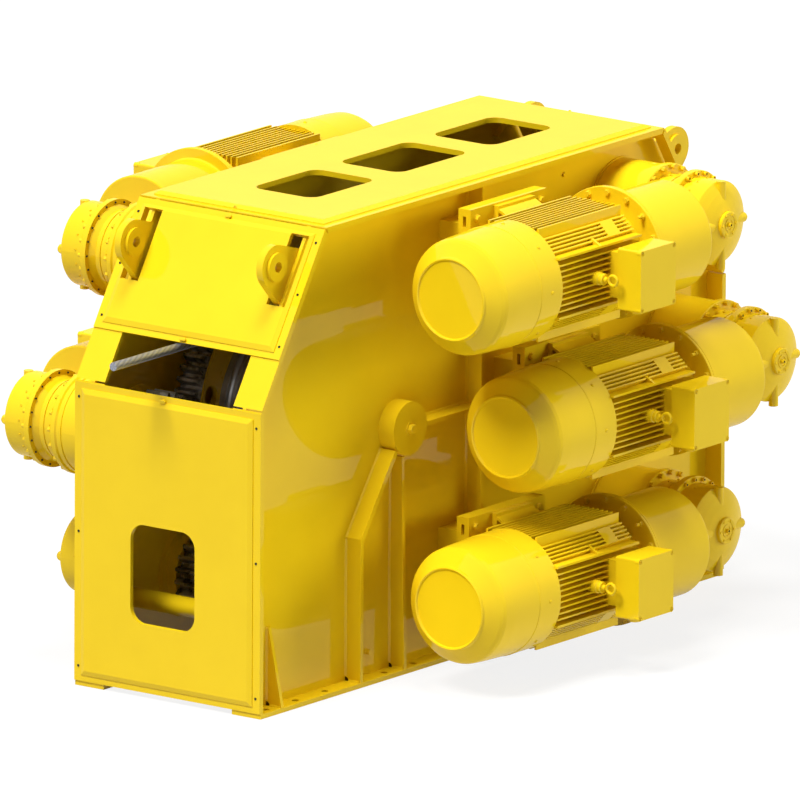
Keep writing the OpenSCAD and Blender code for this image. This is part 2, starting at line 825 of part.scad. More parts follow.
// The bevel gearbox with its neck, flange and domed end
module bevel_gearboxes() {
    flange_y = bevel_back;
    collar_y = flange_y + bevel_flange_t;
    neck_y = collar_y + collar_length;
    seam_y = neck_y + 27;
    dome = -bevel_front;
    color(paint) drives() {
        turned_y([[0, dome], [plate_r + 4, dome + 2], [bevel_r * 0.54, dome + 14],
            [bevel_r * 0.74, dome + 29], [bevel_r * 0.9, dome + 45], [bevel_r - 3, dome + 56],
            [bevel_r, dome + 60], [bevel_r, flange_y],
            [bevel_flange_r - 4, flange_y], [bevel_flange_r, flange_y + 4], [bevel_flange_r, collar_y],
            [collar_r, collar_y], [neck_r - 16, neck_y], [neck_r, neck_y], [neck_r, seam_y],
            [neck_r - 6, seam_y + 1], [neck_r - 6, seam_y + 6], [neck_r, seam_y + 7], [neck_r, planet_end],
            [0, planet_end]]);
        // The round plate with its raised rim
        turned_y([[0, dome - 12], [plate_r - 24, dome - 12], [plate_r - 20, dome - 16],
            [plate_r - 4, dome - 16], [plate_r, dome - 12], [plate_r, dome + bite], [0, dome + bite]]);
        // The tapered neck towards the motor
        turned_x([[0, bell_end], [motor_neck_r, bell_end], [motor_neck_r - 8, bell_end + 30],
            [bevel_front * 0.72, 14 - bevel_r], [bevel_front * 0.72, -bevel_r / 2], [0, -bevel_r / 2]]);
        translate([0, -plug_y, 0]) plugs();
    }
}

// The plug bosses that come out of the dome: up, down, to the far end and to the motor
module plugs() {
    cylinder(r = plug_r, h = bevel_r + 3);
    rotate([180, 0, 0]) cylinder(r = plug_r, h = bevel_r + 22);
    turned_x([[0, 0], [plug_r + 6, 0], [plug_r + 6, bevel_r * 0.6], [plug_r + 2, bevel_r - 30],
        [plug_r - 3, bevel_r - 20], [plug_r - 10, bevel_r - 16], [0, bevel_r - 16]]);
    rotate([0, -90, 0]) cylinder(r = plug_r * 1.45, h = bevel_r - 20);
}

// The bell housing between motor and gearbox
module bell_housings() {
    rim = motor_flange_r - 3;
    rim_x = bell_x + bell_rim_t;
    color(paint) drives() turned_x([[0, bell_x], [rim, bell_x], [motor_flange_r, bell_x + 3],
        [motor_flange_r, rim_x - 3], [rim, rim_x], [bell_r + 8, rim_x + 1], [bell_r, rim_x + 10],
        [bell_r, bell_end - 8], [bell_r - 3, bell_end - 2], [bell_r - 9, bell_end], [0, bell_end]]);
}

// The motor: a finned frame, an end shield with a flange, and feet on the side of the web
module motors() {
    shield_x = stator_x + fin_length;
    flange_x = bell_x - motor_flange_t;
    color(paint) drives() {
        translate([stator_x, 0, 0]) rotate([0, 90, 0]) linear_extrude(fin_length) finned_section();
        turned_x([[0, shield_x - bite], [stator_r + 12, shield_x - bite], [stator_r + 12, shield_x + 12],
            [stator_r - 10, shield_x + 26], [stator_r - 22, flange_x + bite], [0, flange_x + bite]]);
        turned_x([[0, flange_x], [motor_flange_r - 3, flange_x], [motor_flange_r, flange_x + 3],
            [motor_flange_r, bell_x - 3], [motor_flange_r - 3, bell_x], [0, bell_x]]);
        // The pads under the terminal box and the lifting eye
        at = cowl_x + box_x;
        translate([at - box_neck_length / 2, -fin_reach, -box_neck_height / 2])
            cube([box_neck_length, fin_reach - stator_r + 20, box_neck_height]);
        translate([at - box_length / 2 - lift_eye_dx, -fin_reach - 6, 0]) rotate([-90, 0, 0])
            cylinder(r = lift_boss_r, h = fin_reach - stator_r + 26);
        for (s = [-1, 1], u = [-1, 1]) scale([1, s, u]) rail_gusset();
        for (a = [0 : 90 : 270]) rotate([a, 0, 0]) corner_pad();
        for (s = [-1, 1]) motor_foot(s);
    }
}

// The section of the frame: four sets of upright and level fins, corner rails and short corner fins
module finned_section() {
    circle(stator_r);
    for (quarter = [0 : 3]) rotate(90 * quarter) {
        for (k = [-4 : 4]) fin(k * fin_pitch - fin_t / 2, fin_t, fin_reach);
        fin(rail_at - rail_t, rail_t, fin_reach);
        fin(-rail_at, rail_t, fin_reach);
        rotate(45) for (k = [-2 : 2]) fin(k * short_pitch - fin_t / 2, fin_t, fin_reach + 6);
    }
}

// One fin: it starts well inside the frame
module fin(y, t, reach) {
    translate([stator_r / 2, y]) square([reach - stator_r / 2, t]);
}

// The gusset between a level rail and the short fins in the corner
module rail_gusset() {
    inner = rail_at - rail_t;
    outer = fin_reach - 4;
    bend = rail_at + 30;
    translate([stator_x + gusset_at, 0, 0]) rotate([90, 0, 90]) linear_extrude(rail_t + 4)
        polygon([[inner, inner], [outer, inner], [outer, rail_at], [outer - 56, bend], [bend, bend]]);
}

// The smooth pad on the short fins of a corner
module corner_pad() {
    pad = 2 * short_pitch + fin_t / 2;
    rotate([45, 0, 0]) translate([stator_x + pad_at, -pad, stator_r - 20])
        cube([pad_length, 2 * pad, fin_reach + 6 - stator_r + 20]);
}

// One foot: an upright flange on the bracket, a plate that leans to the motor and two gussets
module motor_foot(s) {
    top = foot_span / 2;
    low = top - foot_flange;
    inner = rail_at - rail_t;
    root = top - foot_drop;
    translate([foot_at - foot_length / 2, 0, 0]) mirror([0, 0, s < 0 ? 1 : 0]) {
        translate([0, foot_face - motor_foot_t, low]) cube([foot_length, motor_foot_t, top - low]);
        rotate([90, 0, 90]) linear_extrude(foot_length) polygon([[inner, root - foot_plate_t],
            [foot_face, top - foot_plate_t], [foot_face, top], [inner, root]]);
        for (x = [0.22, 0.78]) translate([x * foot_length - foot_plate_t / 2, 0, 0]) rotate([90, 0, 90])
            linear_extrude(foot_plate_t)
                polygon([[inner, inner], [foot_face, low], [foot_face, top], [inner, root]]);
    }
}

// The fan cowl: a cone to a round end with a rolled lip, and a bead before the rear band
module fan_cowls() {
    lip = cowl_disc_r;
    bead_x = cowl_x + cowl_length - cowl_band;
    color(paint) drives() turned_x([[0, cowl_x + 9], [lip - 12, cowl_x + 9], [lip - 8, cowl_x + 2],
        [lip - 2, cowl_x], [lip + 4, cowl_x + 4], [lip + 8, cowl_x + 14],
        [cowl_r - 32, cowl_x + cowl_cone - 16], [cowl_r - 20, cowl_x + cowl_cone - 3],
        [cowl_r - 13, cowl_x + cowl_cone + 14], [cowl_r - 8, cowl_x + 2 * cowl_cone],
        [cowl_r - 2, bead_x - 8], [cowl_r + 1, bead_x - 4], [cowl_r + 1, bead_x + 2], [cowl_r, bead_x + 4],
        [cowl_r, stator_x], [0, stator_x]]);
}

// The terminal box on its neck, facing outwards, with a screw ear at each corner
module terminal_boxes() {
    at = cowl_x + box_x;
    face = box_back + box_depth;
    color(paint) drives() difference() {
        union() {
            translate([at, -box_back, 0]) rotate([90, 0, 0]) linear_extrude(box_depth)
                round_rect(box_length, box_height, 10);
            box_corners(at) translate([0, -face, 0]) rotate([-90, 0, 0]) cylinder(r = box_ear_r, h = 26);
            translate([at - box_neck_length / 2, -box_back - bite, -box_neck_height / 2])
                cube([box_neck_length, box_back - fin_reach + bite - run_gap, box_neck_height]);
        }
        box_corners(at) translate([0, -face - past, 0]) rotate([-90, 0, 0])
            cylinder(r = box_ear_r - 5, h = past + 9);
    }
}

// Puts a shape at the four corners of a terminal box
module box_corners(at) {
    in = box_ear_r - 2;
    for (x = [-1, 1], z = [-1, 1]) translate([at + x * (box_length / 2 - in), 0, z * (box_height / 2 - in)])
        children();
}

// The stand-off boxes and plates that carry the motors, cut where the post of the web passes
module motor_brackets() {
    color(paint) difference() {
        drives() bracket();
        translate([post_x - rib_t / 2 - run_gap, -web_out - rib_depth - run_gap, foot_t])
            cube([rib_t + 2 * run_gap, rib_depth + past, frame_height]);
    }
}

// One bracket: a front plate, spacers with a slot above and below, a back plate and a stand-off box
module bracket() {
    box_l = bracket_length - 2 * box_edge;
    box_h = bracket_height - 2 * box_edge;
    box_t = web_at - plate_back - bracket_t + bite;
    slots = bracket_height - 2 * spacer_high;
    bracket_layer(foot_face, bracket_t) square([bracket_length, bracket_height], center = true);
    bracket_layer(foot_face + bracket_t - bite, bracket_gap + 2 * bite) difference() {
        square([bracket_length, bracket_height], center = true);
        difference() {
            square([bracket_length + 2 * past, slots], center = true);
            square([bracket_length + 4 * past, slots - 2 * slot_high], center = true);
        }
    }
    bracket_layer(plate_back, bracket_t) square([bracket_length, bracket_height], center = true);
    bracket_layer(plate_back + bracket_t - bite, box_t) difference() {
        square([box_l, box_h], center = true);
        square([box_l - 2 * rib_t, box_h - 2 * rib_t], center = true);
    }
}

// A flat shape behind the motor, from y towards the web
module bracket_layer(y, t) {
    translate([bracket_at, y, 0]) rotate([-90, 0, 0]) linear_extrude(t) children();
}

side_frame();  // near_side_frame
far_side() side_frame();  // far_side_frame
foot();  // near_foot
far_side() foot();  // far_foot
stiffeners();  // near_stiffeners
far_side() stiffeners();  // far_stiffeners
end_panel();  // front_panel
far_side() end_panel();  // rear_panel
end_cover();  // front_cover
far_side() end_cover();  // rear_cover
slope_panel();  // front_slope_panel
far_side() slope_panel();  // rear_slope_panel
slope_cover();  // front_slope_cover
far_side() slope_cover();  // rear_slope_cover
top_plate();
top_cover();
pad_eyes();
cross_tubes();
entry_rope();
drum_axles();
bearing_housings();  // near_bearing_housings
far_side() bearing_housings();  // far_bearing_housings
pinion_housings();  // near_pinion_housings
far_side() pinion_housings();  // far_pinion_housings
planetary_gears();  // near_planetary_gears
far_side() planetary_gears();  // far_planetary_gears
bevel_gearboxes();  // near_bevel_gearboxes
far_side() bevel_gearboxes();  // far_bevel_gearboxes
bell_housings();  // near_bell_housings
far_side() bell_housings();  // far_bell_housings
motors();  // near_motors
far_side() motors();  // far_motors
fan_cowls();  // near_fan_cowls
far_side() fan_cowls();  // far_fan_cowls
terminal_boxes();  // near_terminal_boxes
far_side() terminal_boxes();  // far_terminal_boxes
motor_brackets();  // near_motor_brackets
far_side() motor_brackets();  // far_motor_brackets
front_drum();
far_side() front_drum();  // rear_drum
front_gear();
far_side() front_gear();  // rear_gear
front_pinion(0);  // front_upper_pinion
front_pinion(1);  // front_middle_pinion
front_pinion(2);  // front_lower_pinion
far_side() front_pinion(0);  // rear_upper_pinion
far_side() front_pinion(1);  // rear_middle_pinion
far_side() front_pinion(2);  // rear_lower_pinion
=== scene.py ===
"""Looks of a twin-drum traction winch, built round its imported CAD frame.

Lengths are written in millimetres of the shared frame and turned into metres when a
mesh is published. The near side is at -Y; the far side is the near one after half a
turn about the upright axis.
"""

import logging
import math
from collections.abc import Iterator, Sequence
from dataclasses import dataclass, field
from enum import Enum
from typing import ClassVar

import bmesh
import bpy
from mathutils import Matrix, Vector


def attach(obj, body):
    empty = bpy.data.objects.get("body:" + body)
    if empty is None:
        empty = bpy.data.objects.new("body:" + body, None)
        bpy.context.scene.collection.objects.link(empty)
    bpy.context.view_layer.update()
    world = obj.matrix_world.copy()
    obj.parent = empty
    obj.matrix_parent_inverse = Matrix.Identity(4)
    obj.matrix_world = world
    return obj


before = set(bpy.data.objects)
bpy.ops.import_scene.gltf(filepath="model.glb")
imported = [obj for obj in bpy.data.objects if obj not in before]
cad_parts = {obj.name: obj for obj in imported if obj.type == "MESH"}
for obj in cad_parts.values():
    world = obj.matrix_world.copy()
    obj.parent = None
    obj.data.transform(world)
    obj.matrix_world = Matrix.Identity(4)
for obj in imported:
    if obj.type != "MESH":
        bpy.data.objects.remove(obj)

LOG = logging.getLogger("traction_winch")
METRES = 0.001
# Places of the drum axles, of the ledge round the top cover and of the web's outer face
AXLE_X = 720.0
AXLE_Z = 1293.0
LEDGE_Z = 2488.0
WEB_Y = 498.0
# Name, place along the winch and height of each drive on the near side
DRIVES = (("upper", 1190.0, 2107.0), ("middle", 1660.0, 1293.0), ("lower", 1190.0, 479.0))
# Turns a shape's Z axis to the front and its Y axis up
FACING_FRONT = Matrix(((0.0, 0.0, -1.0), (-1.0, 0.0, 0.0), (0.0, 1.0, 0.0))).to_4x4()
# Half the width over which paint ends on a turned face, in metres
PAINT_EDGE = 3.0 * METRES
SHARP_FROM = math.radians(38)
# Numbers of the Mix node's sockets for colours
MIX_COLOURS = (6, 7)
MIX_RESULT = 2
Colour = tuple[float, float, float]
Profile = Sequence[tuple[float, float]]
Spot = tuple[float, float]


class Side(Enum):
    """One of the two long sides of the winch."""

    NEAR = "near"
    FAR = "far"

    @property
    def place(self) -> Matrix:
        """Matrix that takes a piece drawn on the near side to this side."""
        return Matrix.Identity(4) if self is Side.NEAR else Matrix.Rotation(math.pi, 4, "Z")


class Slot(Enum):
    """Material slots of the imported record."""

    PAINT = "yellow_paint"
    DRUM = "drum_steel"
    GEAR = "gear_steel"
    ROPE = "rope_steel"


class Facing(Enum):
    """Directions that a row of fasteners can face, in a drive's own frame."""

    FAN_END = (-1.0, 0.0, 0.0)
    OUTWARD = (0.0, -1.0, 0.0)
    INWARD = (0.0, 1.0, 0.0)
    DOWN = (0.0, 0.0, -1.0)
    UP = (0.0, 0.0, 1.0)


@dataclass(frozen=True, eq=False)
class Signal:
    """A socket of a shader tree that takes part in ordinary arithmetic."""

    tree: "Tree"
    socket: bpy.types.NodeSocket

    def _math(self, operation: str, first: "Value", second: "Value") -> "Signal":
        """Add one Math node and give its result."""
        node = self.tree.node("ShaderNodeMath", {"operation": operation}, {0: first, 1: second})
        return Signal(self.tree, node.outputs[0])

    def __add__(self, other: "Value") -> "Signal":
        """Sum with a number or a signal."""
        return self._math("ADD", self, other)

    def __radd__(self, other: "Value") -> "Signal":
        """Sum with a number on the left."""
        return self._math("ADD", other, self)

    def __sub__(self, other: "Value") -> "Signal":
        """Difference from a number or a signal."""
        return self._math("SUBTRACT", self, other)

    def __rsub__(self, other: "Value") -> "Signal":
        """Difference of a number on the left."""
        return self._math("SUBTRACT", other, self)

    def __mul__(self, other: "Value") -> "Signal":
        """Product with a number or a signal."""
        return self._math("MULTIPLY", self, other)

    def __rmul__(self, other: "Value") -> "Signal":
        """Product with a number on the left."""
        return self._math("MULTIPLY", other, self)

    def angle_from(self, other: "Value") -> "Signal":
        """Angle in radians whose tangent is this signal over the other one."""
        return self._math("ARCTAN2", self, other)

    def wave(self) -> "Signal":
        """Sine of the signal."""
        return self._math("SINE", self, 0.0)

    def squeezed(self, low: float, high: float) -> "Signal":
        """Smooth step of the signal from low to high.

        Args:
            low: Value that gives 0.
            high: Value that gives 1.

        Returns:
            The step, between 0 and 1.
        """
        node = self.tree.node(
            "ShaderNodeMapRange",
            {"interpolation_type": "SMOOTHSTEP"},
            {"Value": self, "From Min": low, "From Max": high},
        )
        return Signal(self.tree, node.outputs["Result"])


Value = Signal | float | Colour


class Tree:
    """The node tree of one material or of the world."""

    def __init__(self, tree: bpy.types.NodeTree) -> None:
        """Empty the tree.

        Args:
            tree: Node tree to fill.
        """
        self.tree = tree
        tree.nodes.clear()

    def node(self, kind: str, settings: dict | None = None, sockets: dict | None = None) -> bpy.types.Node:
        """Add a node.

        Args:
            kind: Type name of the node.
            settings: Properties that are set first.
            sockets: Values or signals for inputs, by name or number.

        Returns:
            The new node.
        """
        node = self.tree.nodes.new(kind)
        for name, value in (settings or {}).items():
            setattr(node, name, value)
        for key, value in (sockets or {}).items():
            socket = node.inputs[key]
            if isinstance(value, Signal):
                self.tree.links.new(value.socket, socket)
            elif isinstance(value, tuple) and socket.type == "RGBA":
                socket.default_value = (*value, 1.0)
            else:
                socket.default_value = value
        return node

    def signal(self, node: bpy.types.Node, output: str | int = 0) -> Signal:
        """Wrap one output of a node."""
        return Signal(self, node.outputs[output])

    def principled(self, sockets: dict) -> bpy.types.Node:
        """Add the Principled node with these sockets."""
        return self.node("ShaderNodeBsdfPrincipled", None, sockets)

    def place(self) -> tuple[Signal, Signal, Signal]:
        """Object coordinates, in metres, as three signals.

        Returns:
            The signals along, across and up.
        """
        spot = self.node("ShaderNodeTexCoord")
        parts = self.node("ShaderNodeSeparateXYZ", None, {0: self.signal(spot, "Object")})
        return tuple(self.signal(parts, index) for index in range(3))

    def mix(self, factor: Value, low: Value, high: Value) -> Value:
        """Blend two colours.

        Args:
            factor: Share of the second colour.
            low: Colour at 0.
            high: Colour at 1.

        Returns:
            The blended colour.
        """
        if factor == 1.0:
            return high
        first, second = MIX_COLOURS
        node = self.node("ShaderNodeMix", {"data_type": "RGBA"}, {"Factor": factor, first: low, second: high})
        return self.signal(node, MIX_RESULT)

    def blend(self, factor: Value, first: bpy.types.Node, second: bpy.types.Node) -> bpy.types.Node:
        """Mix two shaders by the share of the second."""
        return self.node("ShaderNodeMixShader", None, {0: factor, 1: self.signal(first), 2: self.signal(second)})

    def stretched(self, scale: Colour) -> Signal:
        """Stretch the object coordinates.

        Args:
            scale: Scale on each axis.

        Returns:
            The coordinates in metres times the scale.
        """
        spot = self.node("ShaderNodeTexCoord")
        sockets = {0: self.signal(spot, "Object"), 1: scale}
        return self.signal(self.node("ShaderNodeVectorMath", {"operation": "MULTIPLY"}, sockets))

    def noise(self, scale: float, detail: float = 2.0, along: Colour = (1.0, 1.0, 1.0)) -> Signal:
        """Soft noise fixed to the piece.

        Args:
            scale: Spots in a metre.
            detail: Octaves of finer noise.
            along: Further scale on each axis.

        Returns:
            Noise near 0.5.
        """
        node = self.node(
            "ShaderNodeTexNoise",
            {"noise_dimensions": "3D"},
            {"Vector": self.stretched(along), "Scale": scale, "Detail": detail, "Roughness": 0.55},
        )
        return self.signal(node, "Fac")

    def bare_outside(self, axis_x: float, paint_r: float) -> Signal | float:
        """Share of bare steel round a drum's axis, which is painted up to a radius.

        Args:
            axis_x: Place of the axis along the winch, in metres.
            paint_r: Radius of the paint's edge, in metres, or 0 for no paint.

        Returns:
            The share, between 0 and 1.
        """
        if not paint_r:
            return 1.0
        along, _, up = self.place()
        along, up = along - axis_x, up - AXLE_Z * METRES
        return (along * along + up * up).squeezed((paint_r - PAINT_EDGE) ** 2, (paint_r + PAINT_EDGE) ** 2)

    def bump(self, height: Signal, depth: float, strength: float = 1.0) -> Signal:
        """Normal from a height.

        Args:
            height: Height between 0 and 1.
            depth: Depth in metres of a whole step.
            strength: Share of the effect.

        Returns:
            The bent normal.
        """
        node = self.node("ShaderNodeBump", None, {"Height": height, "Distance": depth, "Strength": strength})
        return self.signal(node, "Normal")


@dataclass(frozen=True)
class Finish:
    """A finish that makes one material."""

    name: str
    colour: Colour
    deep: Colour
    roughness: float
    slot: Slot

    def material(self) -> bpy.types.Material:
        """Make the material, or give the one made before.

        Returns:
            The finished material.
        """
        known = bpy.data.materials.get(self.name)
        if known is not None:
            return known
        material = bpy.data.materials.new(self.name)
        material.use_nodes = True
        tree = Tree(material.node_tree)
        surface = self.shade(tree)
        tree.node("ShaderNodeOutputMaterial", None, {"Surface": tree.signal(surface, "BSDF")})
        material.diffuse_color = (*self.colour, 1.0)
        return material

    def shade(self, tree: Tree) -> bpy.types.Node:
        """Fill the tree and give its Principled node."""
        raise NotImplementedError


@dataclass(frozen=True)
class Enamel(Finish):
    """Gloss enamel sprayed over plate and sheet."""

    coat: float = 0.42
    coat_roughness: float = 0.012
    broad_scale: float = 0.9
    cloud_scale: float = 5.0
    mottle: float = 0.14
    texture: float = 0.00012

    def relief(self, tree: Tree) -> Signal:
        """Height of the paint's fine orange peel."""
        return tree.noise(260.0, 2.0)

    def shade(self, tree: Tree) -> bpy.types.Node:
        """Fill the tree.

        Args:
            tree: Empty tree of the material.

        Returns:
            The Principled node.
        """
        broad = tree.noise(self.broad_scale, 3.0)
        cloud = tree.noise(self.cloud_scale, 4.0)
        film = (broad * 0.6 + cloud * 0.4).squeezed(0.36, 0.68)
        return tree.principled(
            {
                "Base Color": tree.mix(film, self.colour, self.deep),
                "Roughness": self.roughness + (cloud - 0.5) * self.mottle,
                "Coat Weight": self.coat,
                "Coat Roughness": self.coat_roughness,
                "Specular IOR Level": 0.0,
                "Normal": tree.bump(self.relief(tree), self.texture, 0.5),
            }
        )


@dataclass(frozen=True)
class Casting(Enamel):
    """The same enamel over a sand casting, which keeps a faint grain."""

    broad_scale: float = 1.1
    cloud_scale: float = 7.0
    mottle: float = 0.16
    texture: float = 0.0006

    def relief(self, tree: Tree) -> Signal:
        """Height of the sand's grain under the paint."""
        return tree.noise(110.0, 3.0) * 0.7 + tree.noise(24.0, 2.0) * 0.3


@dataclass(frozen=True)
class Turned(Finish):
    """Steel turned in a lathe, with tool marks round the drum, and paint inside paint_r and outside rim_r,
    darkened as painted shade.
    """

    marks: float = 520.0
    film: float = 0.35
    axis_x: float = 0.0
    paint_r: float = 0.0
    rim_r: float = 0.0

    def shade(self, tree: Tree) -> bpy.types.Node:
        """Fill the tree.

        Args:
            tree: Empty tree of the material.

        Returns:
            The Principled node.
        """
        marks = tree.noise(1.0, 3.0, (3.0, self.marks, 3.0))
        grease = tree.noise(9.0, 4.0).squeezed(0.42, 0.66)
        bare = tree.bare_outside(self.axis_x, self.paint_r)
        if self.rim_r:
            bare = bare * (1.0 - tree.bare_outside(self.axis_x, self.rim_r))
        steel = tree.mix(grease * self.film, self.colour, self.deep)
        return tree.principled(
            {
                "Base Color": tree.mix(bare, INSIDE_PAINT_AND_SHADE, steel),
                "Metallic": bare * 0.92,
                "Roughness": self.roughness + (marks - 0.5) * 0.3 + grease * 0.1,
                "Normal": tree.bump(marks, 0.0004, 0.4),
            }
        )


@dataclass(frozen=True)
class CutTeeth(Finish):
    """Oiled gear steel with a film of dark grease, and paint inside the toothed rim, darkened as painted shade."""

    axis_x: float = 0.0
    paint_r: float = 0.0

    def shade(self, tree: Tree) -> bpy.types.Node:
        """Fill the tree.

        Args:
            tree: Empty tree of the material.

        Returns:
            The Principled node.
        """
        grease = tree.noise(14.0, 4.0).squeezed(0.4, 0.62)
        cutter = tree.noise(1.0, 2.0, (40.0, 700.0, 40.0))
        bare = tree.bare_outside(self.axis_x, self.paint_r)
        steel = tree.mix(grease, self.colour, self.deep)
        return tree.principled(
            {
                "Base Color": tree.mix(bare, INSIDE_PAINT_AND_SHADE, steel),
                "Metallic": bare * (0.9 - grease * 0.35),
                "Roughness": self.roughness - grease * 0.12 + (cutter - 0.5) * 0.2,
                "Normal": tree.bump(cutter, 0.0003, 0.35),
            }
        )


@dataclass(frozen=True)
class WireRope(Finish):
    """Drawn wire rope: strands that run round it in a long lay, each of finer wires."""

    strands: int = 6
    lay: float = 0.29
    wires: int = 5
    wire_turn: float = 2.4
    film: float = 0.45
    axis_y: float = 0.0
    axis_z: float = 0.0

    def shade(self, tree: Tree) -> bpy.types.Node:
        """Fill the tree.

        Args:
            tree: Empty tree of the material.

        Returns:
            The Principled node.
        """
        along, across, up = tree.place()
        angle = (up - self.axis_z).angle_from(across - self.axis_y)
        turns = along * (2 * math.pi / self.lay)
        strand = ((angle + turns) * self.strands).wave()
        wire = ((angle - turns * self.wire_turn) * (self.strands * self.wires)).wave()
        height = strand * 0.42 + wire * 0.06 + 0.5
        grease = (1.0 - height.squeezed(0.1, 0.75)) * self.film
        return tree.principled(
            {
                "Base Color": tree.mix(grease, self.colour, self.deep),
                "Metallic": 0.75,
                "Roughness": self.roughness + grease * 0.2,
                "Normal": tree.bump(height, 0.0018, 0.5),
            }
        )


YELLOW: Colour = (0.845, 0.590, 0.009)
YELLOW_DEEP: Colour = (0.815, 0.562, 0.008)
# Yellow paint of the inner parts of drums and gears, darker and more olive than the outer paint as painted shade
INSIDE_PAINT_AND_SHADE: Colour = (0.78, 0.56, 0.009)
BOLT_LIGHT: Colour = (0.86, 0.60, 0.012)
BOLT_DEEP: Colour = (0.79, 0.53, 0.010)
# Dark olive of the painted shade in the ribs' weld relief holes
SHADE_LIGHT: Colour = (0.060, 0.046, 0.002)
SHADE_DEEP: Colour = (0.045, 0.034, 0.002)
# Black of the blackened panel screws, also used as painted shade in screw sockets and on the bevel screws' ends
BLACK_LIGHT: Colour = (0.06, 0.055, 0.04)
BLACK_DEEP: Colour = (0.03, 0.028, 0.02)
STEEL_LIGHT: Colour = (0.40, 0.40, 0.40)
STEEL_OILED: Colour = (0.16, 0.145, 0.11)
TEETH_LIGHT: Colour = (0.44, 0.42, 0.38)
TEETH_OILED: Colour = (0.12, 0.105, 0.07)
ROPE_LIGHT: Colour = (0.36, 0.38, 0.43)
ROPE_OILED: Colour = (0.12, 0.12, 0.14)
# Places and radii of the paint's edges on drums and gears, in metres
FRONT_AXIS = -AXLE_X * METRES
REAR_AXIS = AXLE_X * METRES
HUB_PAINT_R = 0.512
RIM_PAINT_R = 0.550
GEAR_PAINT_R = 0.690
PLATE_PAINT = Enamel("plate_enamel", YELLOW, YELLOW_DEEP, 0.30, Slot.PAINT)
CAST_PAINT = Casting("casting_enamel", YELLOW, YELLOW_DEEP, 0.32, Slot.PAINT)
SHEET_PAINT = Enamel("cowl_enamel", YELLOW, YELLOW_DEEP, 0.27, Slot.PAINT, texture=0.00008)
BOLT_PAINT = Enamel("bolt_enamel", BOLT_LIGHT, BOLT_DEEP, 0.33, Slot.PAINT)
# Painted shade that stands for the dark inside of the weld relief holes
PAINTED_SHADE_HOLLOW = Enamel("painted_shade_hollow", SHADE_LIGHT, SHADE_DEEP, 0.6, Slot.PAINT, coat=0.1)
# Blackened steel of the panel screws, and painted shade in sockets and on the bevel screws' ends
BLACKENED_SCREWS_AND_PAINTED_SHADE = CutTeeth("blackened_screws_and_painted_shade", BLACK_LIGHT, BLACK_DEEP, 0.42, Slot.GEAR)
AXLE_STEEL = Turned("turned_axle_steel", STEEL_LIGHT, STEEL_OILED, 0.36, Slot.DRUM)
FRONT_DRUM, REAR_DRUM = (
    Turned(f"{end}_drum_steel", STEEL_LIGHT, STEEL_OILED, 0.36, Slot.DRUM,
           axis_x=axis, paint_r=HUB_PAINT_R, rim_r=RIM_PAINT_R)
    for end, axis in (("front", FRONT_AXIS), ("rear", REAR_AXIS))
)
FRONT_GEAR, REAR_GEAR = (
    CutTeeth(f"{end}_gear_steel", TEETH_LIGHT, TEETH_OILED, 0.40, Slot.GEAR, axis_x=axis, paint_r=GEAR_PAINT_R)
    for end, axis in (("front", FRONT_AXIS), ("rear", REAR_AXIS))
)
PINION_STEEL = CutTeeth("oiled_pinion_steel", TEETH_LIGHT, TEETH_OILED, 0.36, Slot.GEAR)
ROPE_STEEL = WireRope("wire_rope_steel", ROPE_LIGHT, ROPE_OILED, 0.36, Slot.ROPE, axis_y=0.060, axis_z=1.833)


def aim(point: Sequence[float], direction: Sequence[float]) -> Matrix:
    """Matrix whose Z axis points along a direction.

    Args:
        point: Origin of the matrix.
        direction: Direction of its Z axis.

    Returns:
        The matrix.
    """
    turn = Vector(direction).to_track_quat("Z", "Y").to_matrix().to_4x4()
    return Matrix.Translation(Vector(point)) @ turn


def round_angles(count: int, start: float = 0.0) -> Iterator[float]:
    """Equal steps round a circle, in radians.

    Args:
        count: Number of steps.
        start: First angle, in degrees.

    Yields:
        Each angle in turn.
    """
    for index in range(count):
        yield math.radians(start + 360.0 * index / count)


